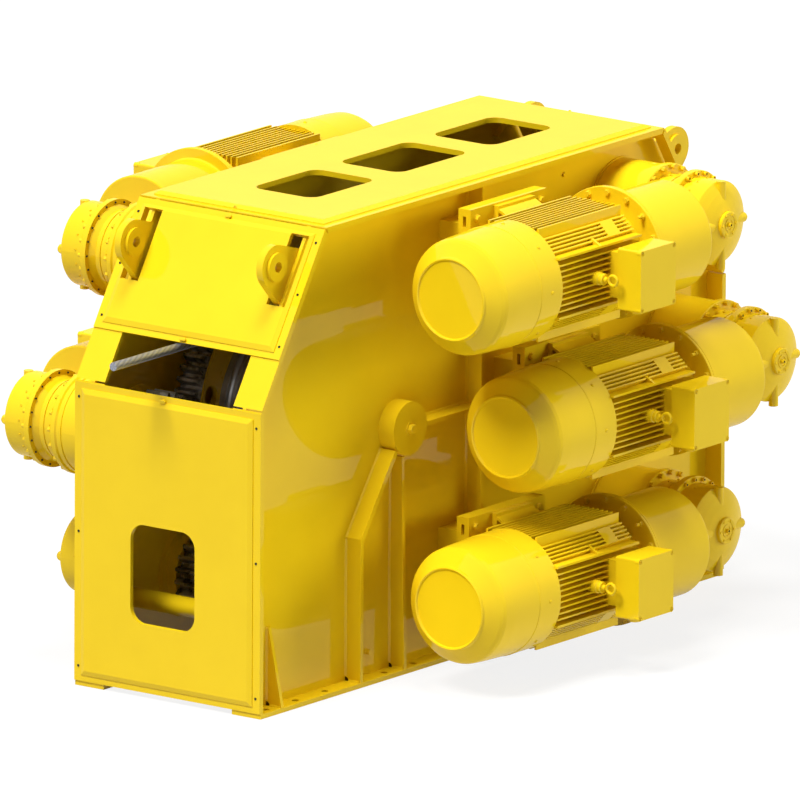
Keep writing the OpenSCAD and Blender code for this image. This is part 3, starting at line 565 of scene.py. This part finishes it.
@dataclass
class Form:
    """A mesh under construction, in millimetres, whose every shape goes through a place's matrix."""

    place: Matrix
    owner: str
    mesh: bmesh.types.BMesh = field(default_factory=bmesh.new, init=False)
    INSET: ClassVar[float] = 1.3

    def _ring(self, points: Sequence[Vector], local: Matrix) -> list[bmesh.types.BMVert]:
        """Add points as vertices, in millimetres of a local matrix."""
        whole = self.place @ local
        return [self.mesh.verts.new(whole @ point) for point in points]

    def _join(self, first: list[bmesh.types.BMVert], second: list[bmesh.types.BMVert]) -> None:
        """Join two rings of vertices, of which one may be a single point.

        Args:
            first: Lower ring.
            second: Upper ring.
        """
        count = max(len(first), len(second))
        for index in range(count):
            after = (index + 1) % count
            if len(first) == 1:
                self.mesh.faces.new((first[0], second[index], second[after]))
            elif len(second) == 1:
                self.mesh.faces.new((first[index], first[after], second[0]))
            else:
                self.mesh.faces.new((first[index], first[after], second[after], second[index]))

    def lathe(
        self, profile: Profile, local: Matrix, sides: int = 24, hexed: Sequence[int] = (), closed: bool = False
    ) -> None:
        """Turn a profile about the Z axis of a local matrix.

        Args:
            profile: Radius and height of each point.
            local: Place of the shape.
            sides: Steps round the axis.
            hexed: Numbers of the points whose ring is a hexagon.
            closed: Whether the last point joins the first.
        """
        rings = []
        for number, (radius, height) in enumerate(profile):
            if radius < 1e-6:
                rings.append(self._ring([Vector((0.0, 0.0, height))], local))
                continue
            points = []
            for angle in round_angles(sides):
                reach = radius
                if number in hexed:
                    step = math.pi / 3
                    reach *= math.cos(step / 2) / math.cos(angle % step - step / 2)
                points.append(Vector((reach * math.cos(angle), reach * math.sin(angle), height)))
            rings.append(self._ring(points, local))
        for first, second in zip(rings, rings[1:] + rings[:1] * closed):
            self._join(first, second)

    def prism(self, outline: Sequence[Spot], height: float, local: Matrix, edge: float = 0.0) -> None:
        """Raise a flat outline along the local Z axis, with a bevelled top.

        Args:
            outline: Corners of the outline, anticlockwise.
            height: Height of the top.
            local: Place of the outline.
            edge: Width of the bevel round the top.
        """
        centre = Vector((sum(p[0] for p in outline), sum(p[1] for p in outline))) / len(outline)
        rings = [self._ring([Vector((x, y, z)) for x, y in outline], local) for z in (0.0, height - edge)]
        if edge:
            inner = []
            for x, y in outline:
                away = Vector((x, y)) - centre
                away *= max(0.0, 1.0 - self.INSET * edge / away.length)
                inner.append(Vector((centre.x + away.x, centre.y + away.y, height)))
            rings.append(self._ring(inner, local))
        for first, second in zip(rings, rings[1:]):
            self._join(first, second)
        self.mesh.faces.new(list(reversed(rings[0])))
        self.mesh.faces.new(rings[-1])

    def ring_plate(self, outer: Sequence[Spot], inner: Sequence[Spot], height: float, local: Matrix) -> None:
        """Plate between two loops of as many points each.

        Args:
            outer: Outline, anticlockwise.
            inner: Hole, anticlockwise, its points beside those of the outline.
            height: Thickness along the local Z axis.
            local: Place of the plate's middle.
        """
        half = height / 2
        loops = [(outer, -half), (outer, half), (inner, half), (inner, -half)]
        rings = [self._ring([Vector((x, y, z)) for x, y in loop], local) for loop, z in loops]
        for first, second in zip(rings, rings[1:] + rings[:1]):
            self._join(first, second)

    def publish(self, name: str, finish: Finish) -> None:
        """Turn the form into a piece that rides on the housing.

        Args:
            name: Name of the piece, after its owner's.
            finish: Finish of its surface.
        """
        name = f"{self.owner}_{name}"
        bmesh.ops.recalc_face_normals(self.mesh, faces=self.mesh.faces[:])
        bmesh.ops.scale(self.mesh, vec=(METRES,) * 3, verts=self.mesh.verts[:])
        data = bpy.data.meshes.new(name)
        self.mesh.to_mesh(data)
        self.mesh.free()
        data.polygons.foreach_set("use_smooth", [True] * len(data.polygons))
        data.set_sharp_from_angle(angle=SHARP_FROM)
        data.materials.append(finish.material())
        piece = bpy.data.objects.new(name, data)
        bpy.context.scene.collection.objects.link(piece)
        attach(piece, "housing")
        LOG.info("%s: %d faces", name, len(data.polygons))


@dataclass(frozen=True)
class HexBolt:
    """A hexagon bolt on a round washer."""

    across: float
    head: float
    washer_r: float
    washer_t: float = 3.0
    stud: float = 0.0

    def add(self, form: Form, local: Matrix) -> None:
        """Add the bolt.

        Args:
            form: Form that takes it.
            local: Seat of the washer, its Z axis out of the surface.
        """
        corner, round_r = self.across / math.sqrt(3), self.washer_r
        low, top = self.washer_t, self.washer_t + self.head
        washer = [(0, -1), (round_r, -1), (round_r, low - 0.8), (round_r - 0.8, low), (0, low)]
        form.lathe(washer, local)
        head = [(0, low - 0.5), (corner, low - 0.5), (corner, top - 2.2), (corner * 0.88, top), (0, top)]
        form.lathe(head, local, 6)
        if self.stud:
            shank, end = self.across * 0.32, top + self.stud
            form.lathe([(shank, top - 1), (shank, end - 2), (shank - 2, end), (0, end)], local, 16)


@dataclass(frozen=True)
class SocketScrew:
    """A cylinder screw with a hexagon socket."""

    radius: float
    head: float

    def add(self, form: Form, local: Matrix) -> None:
        """Add the screw.

        Args:
            form: Form that takes it.
            local: Seat of the head, its Z axis out of the surface.
        """
        r, top, floor = self.radius, self.head, self.head * 0.35
        socket = [(0, floor), (r * 0.6, floor), (r * 0.6, top - 0.6), (r * 0.66, top)]
        form.lathe([*socket, (r - 0.9, top), (r, top - 0.9), (r, -1), (0, -1)], local, hexed=(1, 2, 3))

    def line(self, form: Form, local: Matrix) -> None:
        """Add painted shade inside the socket, as a dark lining.

        Args:
            form: Form that takes it.
            local: Seat of the head, as for the screw.
        """
        r, top = self.radius * 0.58, self.head
        low, floor, rim = top * 0.36, top * 0.45, top - 1.2
        form.lathe([(0, low), (r, low), (r, rim), (r - 0.8, rim), (r - 0.8, floor), (0, floor)], local, 6)


@dataclass(frozen=True)
class PanScrew:
    """A domed sheet screw on a thin washer."""

    radius: float
    head: float

    def add(self, form: Form, local: Matrix) -> None:
        """Add the screw.

        Args:
            form: Form that takes it.
            local: Seat of the head, its Z axis out of the surface.
        """
        r, h = self.radius, self.head
        washer = [(0, -2), (r, -2), (r, 0.8), (r * 0.86, 1.4)]
        dome = [(r * 0.84, h * 0.5), (r * 0.7, h * 0.82), (r * 0.42, h)]
        form.lathe([*washer, *dome, (r * 0.22, h), (r * 0.16, h * 0.5), (0, h * 0.5)], local)


@dataclass(frozen=True)
class Seat:
    """Place of one drive: a motor with its bell housing and gearbox."""

    name: str
    x: float
    z: float
    side: Side
    motor_y: float = 1095.0

    def form(self) -> Form:
        """Start a mesh in the drive's own frame."""
        place = self.side.place @ Matrix.Translation((self.x, -self.motor_y, self.z))
        return Form(place, f"{self.side.value}_{self.name}")


@dataclass
class Motor:
    """Fasteners and fittings of one finned motor and its fan cowl."""

    seat: Seat
    fan_end: float = -2238.0
    cowl_r: float = 319.0
    cowl_screw_x: float = 450.0
    cowl_screws_round: int = 8
    flange_x: float = -894.0
    flange_ring: float = 320.0
    flange_bolts_round: int = 16
    eye_x: float = 858.0
    eye_seat: float = 300.0
    eye_middle: float = 401.0
    eye_ring_r: float = 26.0
    eye_wire_r: float = 9.0
    box_x: float = 1059.0
    box_length: float = 298.0
    box_height: float = 326.0
    box_face: float = 540.0
    box_margin: float = 14.0
    plug_x: float = 961.0
    plug_y: float = 478.0
    cowl_screw: PanScrew = PanScrew(11.0, 6.0)
    flange_bolt: HexBolt = HexBolt(28.0, 13.0, 17.0, 3.0)
    stud_bolt: HexBolt = HexBolt(28.0, 13.0, 17.0, 3.0, 26.0)
    box_screw: SocketScrew = SocketScrew(8.0, 9.0)
    EYE_FOOT: ClassVar[Profile] = ((0, 0), (34, 0), (34, 22), (31, 25), (29, 27), (29, 33), (31, 36))
    EYE_NECK: ClassVar[Profile] = ((31, 46), (28, 50), (16, 53), (14, 60), (17, 70), (0, 72))
    PLUG: ClassVar[Profile] = ((0, 0), (33, 0), (33, 8), (30, 14), (27, 16), (0, 16))

    def cowl_screws(self) -> None:
        """Eight screws round the rear band of the fan cowl."""
        form = self.seat.form()
        x = self.fan_end + self.cowl_screw_x
        for angle in round_angles(self.cowl_screws_round):
            out = (0.0, -math.cos(angle), math.sin(angle))
            self.cowl_screw.add(form, aim((x, self.cowl_r * out[1], self.cowl_r * out[2]), out))
        form.publish("cowl_screws", SHEET_PAINT)

    def flange_bolts(self) -> None:
        """Sixteen bolts on the motor's flange, facing the fan end, of which every fourth is a stud."""
        form = self.seat.form()
        for number, angle in enumerate(round_angles(self.flange_bolts_round)):
            point = (self.flange_x, -self.flange_ring * math.cos(angle), self.flange_ring * math.sin(angle))
            bolt = self.stud_bolt if number % 4 == 2 else self.flange_bolt
            bolt.add(form, aim(point, Facing.FAN_END.value))
        form.publish("flange_bolts", BOLT_PAINT)

    def lifting_eye(self) -> None:
        """The lifting eye in front of the terminal box."""
        form = self.seat.form()
        x = self.fan_end + self.eye_x
        form.lathe([*self.EYE_FOOT, *self.EYE_NECK], aim((x, -self.eye_seat, 0.0), Facing.OUTWARD.value), 32)
        ring_r, wire_r = self.eye_ring_r, self.eye_wire_r
        wire = [(ring_r + wire_r * math.cos(turn), wire_r * math.sin(turn)) for turn in round_angles(14)]
        form.lathe(wire, aim((x, -self.eye_middle, 0.0), (1.0, 0.0, 0.0)), 36, closed=True)
        form.publish("lifting_eye", CAST_PAINT)

    def box_fittings(self) -> None:
        """Screws in the lid and cable plug under the terminal box."""
        form = self.seat.form()
        middle, y = self.fan_end + self.box_x, self.box_screw.head - self.box_face
        reach_x, reach_z = self.box_length / 2 - self.box_margin, self.box_height / 2 - self.box_margin
        for x in (-1, 1):
            for z in (-1, 1):
                self.box_screw.add(form, aim((middle + x * reach_x, y, z * reach_z), Facing.OUTWARD.value))
        form.publish("box_screws", BOLT_PAINT)
        plug = self.seat.form()
        seat = (self.fan_end + self.plug_x, -self.plug_y, 1.0 - self.box_height / 2)
        plug.lathe(self.PLUG, aim(seat, Facing.DOWN.value), 32)
        plug.publish("cable_plug", CAST_PAINT)

    def build(self) -> None:
        """Build every piece of the motor."""
        self.cowl_screws()
        self.flange_bolts()
        self.lifting_eye()
        self.box_fittings()


@dataclass
class Gearbox:
    """Fasteners of one right-angle planetary gearbox."""

    seat: Seat
    planet_face: float = 279.0
    planet_ring: float = 250.0
    planet_bolts_round: int = 18
    planet_bolt_start: float = 2.0
    bevel_face: float = 99.0
    bevel_inner: float = 135.0
    bevel_ring: float = 240.0
    bevel_screws_round: int = 20
    case_r: float = 222.0
    case_screw_y: float = 47.0
    case_screws_round: int = 18
    neck_r: float = 212.0
    neck_screw_y: float = 246.0
    neck_screws_round: int = 16
    radial_start: float = 5.0
    plate_face: float = -116.0
    plate_ring: float = 56.0
    plate_bolts_round: int = 6
    planet_bolt: HexBolt = HexBolt(24.0, 16.0, 15.0, 3.0)
    bevel_screw: SocketScrew = SocketScrew(11.0, 16.0)
    case_screw: SocketScrew = SocketScrew(5.5, 4.0)
    neck_screw: SocketScrew = SocketScrew(7.5, 7.0)
    plate_bolt: HexBolt = HexBolt(13.0, 7.0, 8.0, 1.0)
    SCREW_END: ClassVar[Profile] = ((0, -1), (5.5, -1), (5.5, 4.5), (4.2, 6), (0, 6))
    PLATE_RIM: ClassVar[Profile] = ((34, -1), (34, 2.5), (32, 3.5), (28, 3.5), (26, 2.5), (26, -1))

    def ring_place(self, radius: float, height: float, angle: float, facing: Facing) -> Matrix:
        """Seat on a face square to the drum's axis.

        Args:
            radius: Distance from the gearbox's axis.
            height: Distance inwards from the motor's axis.
            angle: Angle in radians from the rear.
            facing: Side that the seat faces.

        Returns:
            The matrix.
        """
        return aim((radius * math.cos(angle), height, radius * math.sin(angle)), facing.value)

    def flange_bolts(self) -> None:
        """Bolts on the planetary flange, and socket screws through the bevel flange with their ends, with painted
        shade in their sockets and on their ends.
        """
        bolts, screws, sockets, ends = (self.seat.form() for _ in range(4))
        for angle in round_angles(self.planet_bolts_round, self.planet_bolt_start):
            self.planet_bolt.add(bolts, self.ring_place(self.planet_ring, self.planet_face, angle, Facing.OUTWARD))
        for angle in round_angles(self.bevel_screws_round):
            seat = self.ring_place(self.bevel_ring, self.bevel_face, angle, Facing.OUTWARD)
            self.bevel_screw.add(screws, seat)
            self.bevel_screw.line(sockets, seat)
            end = self.ring_place(self.bevel_ring, self.bevel_inner, angle, Facing.INWARD)
            ends.lathe(self.SCREW_END, end, 16)
        bolts.publish("planetary_bolts", BOLT_PAINT)
        screws.publish("bevel_screws", BOLT_PAINT)
        # Painted shade: dark socket linings and dark screw ends
        sockets.publish("bevel_screw_socket_shade", BLACKENED_SCREWS_AND_PAINTED_SHADE)
        ends.publish("bevel_screw_ends", BLACKENED_SCREWS_AND_PAINTED_SHADE)

    def radial_screws(self) -> None:
        """Small screws that point at the axis, round the bevel case and round the planetary neck."""
        form = self.seat.form()
        case = (self.case_screws_round, self.case_r, self.case_screw_y, self.case_screw)
        neck = (self.neck_screws_round, self.neck_r, self.neck_screw_y, self.neck_screw)
        for count, radius, height, screw in (case, neck):
            for angle in round_angles(count, self.radial_start):
                out = (math.cos(angle), 0.0, math.sin(angle))
                screw.add(form, aim((radius * out[0], height, radius * out[2]), out))
        form.publish("radial_screws", BOLT_PAINT)

    def plate_screws(self) -> None:
        """Screws and the inner ring of the round plate on the dome, with painted shade in the middle screw's
        socket.
        """
        form = self.seat.form()
        for angle in round_angles(self.plate_bolts_round):
            self.plate_bolt.add(form, self.ring_place(self.plate_ring, self.plate_face, angle, Facing.OUTWARD))
        middle = aim((0.0, self.plate_face, 0.0), Facing.OUTWARD.value)
        form.lathe(self.PLATE_RIM, middle, 36)
        self.bevel_screw.add(form, middle)
        form.publish("dome_plate_screws", BOLT_PAINT)
        # Painted shade inside the middle screw's socket
        socket = self.seat.form()
        self.bevel_screw.line(socket, middle)
        socket.publish("dome_screw_socket_shade", BLACKENED_SCREWS_AND_PAINTED_SHADE)

    def build(self) -> None:
        """Build every piece of the gearbox."""
        self.flange_bolts()
        self.radial_screws()
        self.plate_screws()


@dataclass
class Bracket:
    """Bolts of one motor bracket."""

    seat: Seat
    middle_x: float = -1324.0
    plate_y: float = 315.0
    reach_x: float = 271.0
    reach_z: float = 265.0
    bolt: HexBolt = HexBolt(32.0, 15.0, 22.0, 4.0)

    def build(self) -> None:
        """Four bolts that clamp the front plate."""
        form = self.seat.form()
        for x in (-self.reach_x, self.reach_x):
            for z in (-self.reach_z, self.reach_z):
                self.bolt.add(form, aim((self.middle_x + x, self.plate_y, z), Facing.OUTWARD.value))
        form.publish("bracket_bolts", BOLT_PAINT)


@dataclass
class EndPlating:
    """Screws, latches and lifting tab of the panels at one end."""

    name: str
    place: Matrix
    half_base: float = 1982.0
    knee: float = 1620.0
    lean: float = math.radians(31.98)
    sheet: float = 8.0
    row_y: float = 573.0
    front_heights: tuple[float, ...] = (107.0, 819.0, 1530.0)
    slope_places: tuple[float, ...] = (354.0, 643.0, 931.0)
    screw: SocketScrew = SocketScrew(7.0, 3.0)
    front_latch: Spot = (27.0, 1583.0)
    slope_latches: tuple[Spot, ...] = ((22.0, 300.0), (10.0, 988.0))
    latch_stem_r: float = 12.0
    latch_stem: float = 6.0
    knob_half: float = 11.0
    knob_r: float = 9.0
    knob_t: float = 10.0
    knob_edge: float = 2.5
    tab_place: Spot = (-1396.0, 23.0)
    tab_rise: float = 9.5
    tab_t: float = 10.0
    tab_round: float = 4.5
    tab_hole_r: float = 4.0
    tab_steps: int = 48
    tab_corners: tuple[Spot, ...] = ((-12.0, -7.5), (12.0, -7.5), (0.0, 5.5))

    def slope(self, y: float, along: float) -> Matrix:
        """Place on the slope, its Z axis out of it.

        Args:
            y: Place across the winch.
            along: Distance up the slope from the knee.

        Returns:
            The matrix.
        """
        out = Vector((-math.cos(self.lean), 0.0, math.sin(self.lean)))
        up = Vector((math.sin(self.lean), 0.0, math.cos(self.lean)))
        point = Vector((-self.half_base, y, self.knee)) + up * along + out * self.sheet
        turn = Matrix((up.cross(out), up, out)).transposed().to_4x4()
        return Matrix.Translation(point) @ turn

    def upright(self, y: float, z: float) -> Matrix:
        """Place on the upright panel, its Z axis out of it and its Y axis up."""
        return Matrix.Translation((-self.half_base - self.sheet, y, z)) @ FACING_FRONT

    def screws(self) -> None:
        """Socket screws down both margins."""
        form = Form(self.place, self.name)
        for side in (-1, 1):
            for height in self.front_heights:
                self.screw.add(form, self.upright(side * self.row_y, height))
            for along in self.slope_places:
                self.screw.add(form, self.slope(side * self.row_y, along))
        form.publish("panel_screws", BLACKENED_SCREWS_AND_PAINTED_SHADE)

    def latches(self) -> None:
        """Turn latches in the middle of the panels' edges."""
        form = Form(self.place, self.name)
        stem_r, stem = self.latch_stem_r, self.latch_stem
        knob = []
        for sign, first in ((1, -90.0), (-1, 90.0)):
            for turn in (math.radians(first + 22.5 * step) for step in range(9)):
                knob.append((sign * self.knob_half + self.knob_r * math.cos(turn), self.knob_r * math.sin(turn)))
        for seat in (self.upright(*self.front_latch), *(self.slope(*place) for place in self.slope_latches)):
            form.lathe([(0, -1), (stem_r, -1), (stem_r, stem), (0, stem)], seat)
            form.prism(knob, self.knob_t, seat @ Matrix.Translation((0, 0, stem - 1)), self.knob_edge)
        form.publish("panel_latches", BOLT_PAINT)

    def tab_reach(self, ray: Vector) -> float:
        """Measure the tab from its hole's middle to its outline.

        Args:
            ray: Direction to measure in, of length 1.

        Returns:
            The distance to the farthest of its round corners and straight sides.
        """
        corners, reach = [Vector(corner) for corner in self.tab_corners], 0.0
        for start, end in zip(corners, corners[1:] + corners[:1]):
            along = ray.dot(start)
            spare = self.tab_round * self.tab_round - (start.length_squared - along * along)
            if spare > 0:
                reach = max(reach, along + math.sqrt(spare))
            side = (end - start).normalized()
            out = Vector((side.y, -side.x))
            if ray.dot(out) > 1e-6:
                straight = (start.dot(out) + self.tab_round) / ray.dot(out)
                if 0.0 <= (ray * straight - start).dot(side) <= (end - start).length:
                    reach = max(reach, straight)
        return reach

    def lifting_tab(self) -> None:
        """Rounded three-cornered tab with a hole, on the ledge before the top cover's riser."""
        form = Form(self.place, self.name)
        outer, hole = [], []
        for angle in round_angles(self.tab_steps):
            ray = Vector((math.cos(angle), math.sin(angle)))
            reach = self.tab_reach(ray)
            outer.append((ray.x * reach, ray.y * reach))
            hole.append((ray.x * self.tab_hole_r, ray.y * self.tab_hole_r))
        seat = Matrix.Translation((*self.tab_place, LEDGE_Z + self.tab_rise)) @ FACING_FRONT
        form.ring_plate(outer, hole, self.tab_t, seat)
        form.publish("lifting_tab", BOLT_PAINT)

    def build(self) -> None:
        """Build every piece of the end."""
        self.screws()
        self.latches()
        self.lifting_tab()


@dataclass
class RibWelds:
    """Fillet welds of the ribs outside one web, and painted shade where the ribs are cut back for the welds."""

    side: Side
    edge_y: float = 596.0
    foot_z: float = 25.0
    half_t: float = 11.0
    leg: float = 10.0
    relief_r: float = 22.0
    shade_disc_t: float = 1.6
    gap: float = 2.0
    short: float = 8.0
    runs: tuple[tuple[Spot, Spot], ...] = (
        ((-1790.0, 25.0), (-1790.0, 439.0)),
        ((-1122.0, 25.0), (-1122.0, 776.0)),
        ((-1122.0, 776.0), (-833.0, 1191.0)),
        ((-750.0, 25.0), (-750.0, 1147.0)),
        ((-574.0, 1293.0), (-113.0, 1293.0)),
        ((-102.0, 25.0), (-102.0, 2458.0)),
    )

    def bead(self, form: Form, start: Vector, end: Vector, legs: tuple[Vector, Vector]) -> None:
        """Add one fillet weld.

        Args:
            form: Form that takes it.
            start: Start of the corner that it fills.
            end: End of that corner.
            legs: Directions of its two legs.
        """
        along = end - start
        turn = Matrix((legs[0], legs[1], along.normalized())).transposed().to_4x4()
        low, full = -1.0, self.leg
        outline = [(low, low), (full, low), (full, 0.6), (full * 0.56, full * 0.56), (0.6, full), (low, full)]
        form.prism(outline, along.length, Matrix.Translation(start) @ turn)

    def seams(self) -> None:
        """Fillet welds along both faces of every rib, and along the foot."""
        form = Form(self.side.place, self.side.value)
        out, up = Vector((0.0, -1.0, 0.0)), Vector((0.0, 0.0, 1.0))
        for (x0, z0), (x1, z1) in self.runs:
            start, end = Vector((x0, -WEB_Y, z0)), Vector((x1, -WEB_Y, z1))
            along = (end - start).normalized()
            if z0 == self.foot_z:
                start += along * (self.relief_r + self.gap)
            for sign in (-1.0, 1.0):
                face = along.cross(out) * sign
                self.bead(form, start + face * self.half_t, end + face * self.half_t, (face, out))
                if z0 == self.foot_z:
                    corner = Vector((x0, 0.0, z0)) + face * self.half_t
                    inner, outer = out * (WEB_Y + self.relief_r + self.gap), out * (self.edge_y - self.short)
                    self.bead(form, corner + inner, corner + outer, (face, up))
        form.publish("rib_welds", CAST_PAINT)

    def relief_shade(self) -> None:
        """Dark quarter rounds of painted shade where the ribs' lower inner corners are cut back for the welds."""
        form = Form(self.side.place, self.side.value)
        turns = [math.radians(9 * step) for step in range(11)]
        arc = [(self.relief_r * math.cos(turn), self.relief_r * math.sin(turn)) for turn in turns]
        for (x0, z0), _ in self.runs:
            if z0 == self.foot_z:
                for sign in (-1.0, 1.0):
                    turn = Matrix(((0.0, 0.0, sign), (-1.0, 0.0, 0.0), (0.0, 1.0, 0.0))).to_4x4()
                    seat = Matrix.Translation((x0 + sign * (self.half_t - 1.0), -WEB_Y, z0)) @ turn
                    # A thin disc of painted shade on each face of the rib
                    form.prism([(0.0, 0.0), *arc], self.shade_disc_t, seat)
        form.publish("weld_relief_shade", PAINTED_SHADE_HOLLOW)

    def build(self) -> None:
        """Build the welds of one side."""
        self.seams()
        self.relief_shade()


@dataclass
class Housing:
    """Small fittings of one side of the housing."""

    side: Side
    cap_y: float = 597.0
    cap_bolt: HexBolt = HexBolt(46.0, 22.0, 36.0, 5.0)
    plug_place: Spot = (714.0, 2358.0)
    pin_place: Spot = (-955.0, 144.0)
    ledge_screw: PanScrew = PanScrew(9.0, 3.0)
    ledge_place: Spot = (-24.0, -587.0)
    PLUG: ClassVar[Profile] = ((0, -1), (13, -1), (13, 5), (10, 8), (0, 8))
    PIN: ClassVar[Profile] = ((0, -1), (16, -1), (16, 5), (14, 7), (14, 26), (12, 28), (0, 28))

    def axle_cap(self) -> None:
        """Hexagon bolt in the cap of the outer bearing housing."""
        form = Form(self.side.place, self.side.value)
        self.cap_bolt.add(form, aim((-AXLE_X, -self.cap_y, AXLE_Z), Facing.OUTWARD.value))
        form.publish("axle_cap_bolt", BOLT_PAINT)

    def web_plugs(self) -> None:
        """Plug high on the web, pin low between the ribs and screw on the top's ledge."""
        form = Form(self.side.place, self.side.value)
        for (x, z), profile, sides in ((self.plug_place, self.PLUG, 24), (self.pin_place, self.PIN, 28)):
            form.lathe(profile, aim((x, -WEB_Y, z), Facing.OUTWARD.value), sides)
        self.ledge_screw.add(form, aim((*self.ledge_place, LEDGE_Z), Facing.UP.value))
        form.publish("web_plugs", BOLT_PAINT)

    def build(self) -> None:
        """Build the side's fittings."""
        self.axle_cap()
        self.web_plugs()
        RibWelds(self.side).build()


@dataclass
class Dresser:
    """Gives every CAD node its finish."""

    nodes: dict[str, bpy.types.Object]
    CAST: ClassVar[tuple[str, ...]] = (
        "gearboxes", "planetary_gears", "bell_housings", "motors", "bearing_housings", "pinion_housings",
        "terminal_boxes",
    )
    STEEL: ClassVar[dict[str, Finish]] = {
        "entry_rope": ROPE_STEEL,
        "front_drum": FRONT_DRUM,
        "rear_drum": REAR_DRUM,
        "drum_axles": AXLE_STEEL,
        "front_gear": FRONT_GEAR,
        "rear_gear": REAR_GEAR,
    }

    def finish_of(self, name: str) -> Finish:
        """Choose the finish of a node.

        Args:
            name: Name of the CAD node.

        Returns:
            Its finish.
        """
        if name in self.STEEL:
            return self.STEEL[name]
        if name.endswith("_pinion"):
            return PINION_STEEL
        if name.endswith("fan_cowls"):
            return SHEET_PAINT
        return CAST_PAINT if name.endswith(self.CAST) else PLATE_PAINT

    def dress(self) -> None:
        """Put each finish on its node."""
        for name, node in self.nodes.items():
            finish = self.finish_of(name)
            node.data.materials.clear()
            node.data.materials.append(finish.material())
            LOG.info("%s: %s", name, finish.name)


@dataclass(frozen=True)
class Lamp:
    """A wide soft light from far away, which shows in no reflection."""

    name: str
    direction: tuple[float, float, float]
    strength: float
    angle: float

    def build(self) -> None:
        """Hang the lamp."""
        lamp = bpy.data.lights.new(self.name, "SUN")
        lamp.energy = self.strength
        lamp.angle = math.radians(self.angle)
        holder = bpy.data.objects.new(self.name, lamp)
        holder.matrix_world = aim((0.0, 0.0, 10.0), self.direction)
        holder.visible_glossy = False
        bpy.context.scene.collection.objects.link(holder)


@dataclass
class Studio:
    """White floor and world, soft light and the camera."""

    lamps: tuple[Lamp, ...] = (
        Lamp("soft_key", (-0.55, 0.08, 0.82), 3.4, 20.0),
        Lamp("soft_top", (-0.10, -0.10, 0.99), 2.0, 20.0),
        Lamp("soft_side", (0.70, -0.70, 0.15), 1.9, 30.0),
    )
    ambient: float = 0.05
    floor_bounce: float = 0.50
    floor_half: float = 60.0
    floor_z: float = -0.0008
    floor_grey: float = 0.9
    floor_glow: float = 0.84
    lens: float = 1500.0
    sensor: float = 36.0
    sight_range: Spot = (1.0, 1000.0)
    eye: tuple[float, float, float] = (-133.502, -101.0914, 41.5701)
    target: tuple[float, float, float] = (-0.9807, -0.7273, 1.5136)
    roll: float = 0.2911
    SEEN_BY: ClassVar[tuple[str, ...]] = ("Camera", "Glossy", "Transmission")
    WHITE: ClassVar[Colour] = (1.0, 1.0, 1.0)

    def sight(self, tree: Tree) -> Signal:
        """Tell the rays that come from the camera, a mirror or glass.

        Args:
            tree: Tree of the world or of the floor.

        Returns:
            1 for such a ray, or else 0.
        """
        path = tree.node("ShaderNodeLightPath")
        camera, glossy, through = (tree.signal(path, f"Is {kind} Ray") for kind in self.SEEN_BY)
        return camera + glossy + through

    def world(self) -> None:
        """White world for what is seen, plain grey light for the rest."""
        world = bpy.data.worlds.new("studio_world")
        world.use_nodes = True
        tree = Tree(world.node_tree)
        light = tree.node("ShaderNodeBackground", None, {"Color": self.WHITE, "Strength": self.ambient})
        seen = tree.node("ShaderNodeBackground", None, {"Color": self.WHITE, "Strength": 1.0})
        both = tree.blend(self.sight(tree), light, seen)
        tree.node("ShaderNodeOutputWorld", None, {"Surface": tree.signal(both)})
        bpy.context.scene.world = world

    def floor(self) -> None:
        """White floor that keeps a faint shadow."""
        half = self.floor_half
        mesh = bmesh.new()
        corners = ((-half, -half), (half, -half), (half, half), (-half, half))
        mesh.faces.new([mesh.verts.new((x, y, self.floor_z)) for x, y in corners])
        data = bpy.data.meshes.new("studio_floor")
        mesh.to_mesh(data)
        mesh.free()
        floor = bpy.data.objects.new("studio_floor", data)
        bpy.context.scene.collection.objects.link(floor)
        material = bpy.data.materials.new("studio_floor")
        material.use_nodes = True
        tree = Tree(material.node_tree)
        bounce = tree.node("ShaderNodeBsdfDiffuse", None, {"Color": (self.floor_bounce,) * 3})
        plain = tree.node("ShaderNodeBsdfDiffuse", None, {"Color": (self.floor_grey,) * 3})
        white = tree.node("ShaderNodeEmission", None, {"Color": self.WHITE, "Strength": 1.0})
        both = tree.blend(self.sight(tree), bounce, tree.blend(self.floor_glow, plain, white))
        tree.node("ShaderNodeOutputMaterial", None, {"Surface": tree.signal(both)})
        data.materials.append(material)

    def camera(self) -> None:
        """Camera at the photograph's angle."""
        data = bpy.data.cameras.new("photo_camera")
        data.lens = self.lens
        data.sensor_width = self.sensor
        data.sensor_fit = "HORIZONTAL"
        data.clip_start, data.clip_end = self.sight_range
        camera = bpy.data.objects.new("photo_camera", data)
        sight = Vector(self.target) - Vector(self.eye)
        turn = sight.to_track_quat("-Z", "Y").to_matrix().to_4x4()
        roll = Matrix.Rotation(math.radians(self.roll), 4, "Z")
        camera.matrix_world = Matrix.Translation(self.eye) @ turn @ roll
        bpy.context.scene.collection.objects.link(camera)
        bpy.context.scene.camera = camera

    def build(self) -> None:
        """Set up the studio."""
        bpy.context.scene.view_settings.view_transform = "Standard"
        self.world()
        self.floor()
        for lamp in self.lamps:
            lamp.build()
        self.camera()


def main() -> None:
    """Build the scene in order."""
    logging.basicConfig(level=logging.INFO, format="%(message)s")
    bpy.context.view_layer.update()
    Studio().build()
    Dresser(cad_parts).dress()
    for side in Side:
        Housing(side).build()
    for side in Side:
        EndPlating("front" if side is Side.NEAR else "rear", side.place).build()
        for name, x, z in DRIVES:
            seat = Seat(name, x, z, side)
            Motor(seat).build()
            Gearbox(seat).build()
            Bracket(seat).build()


if __name__ == "__main__":
    main()
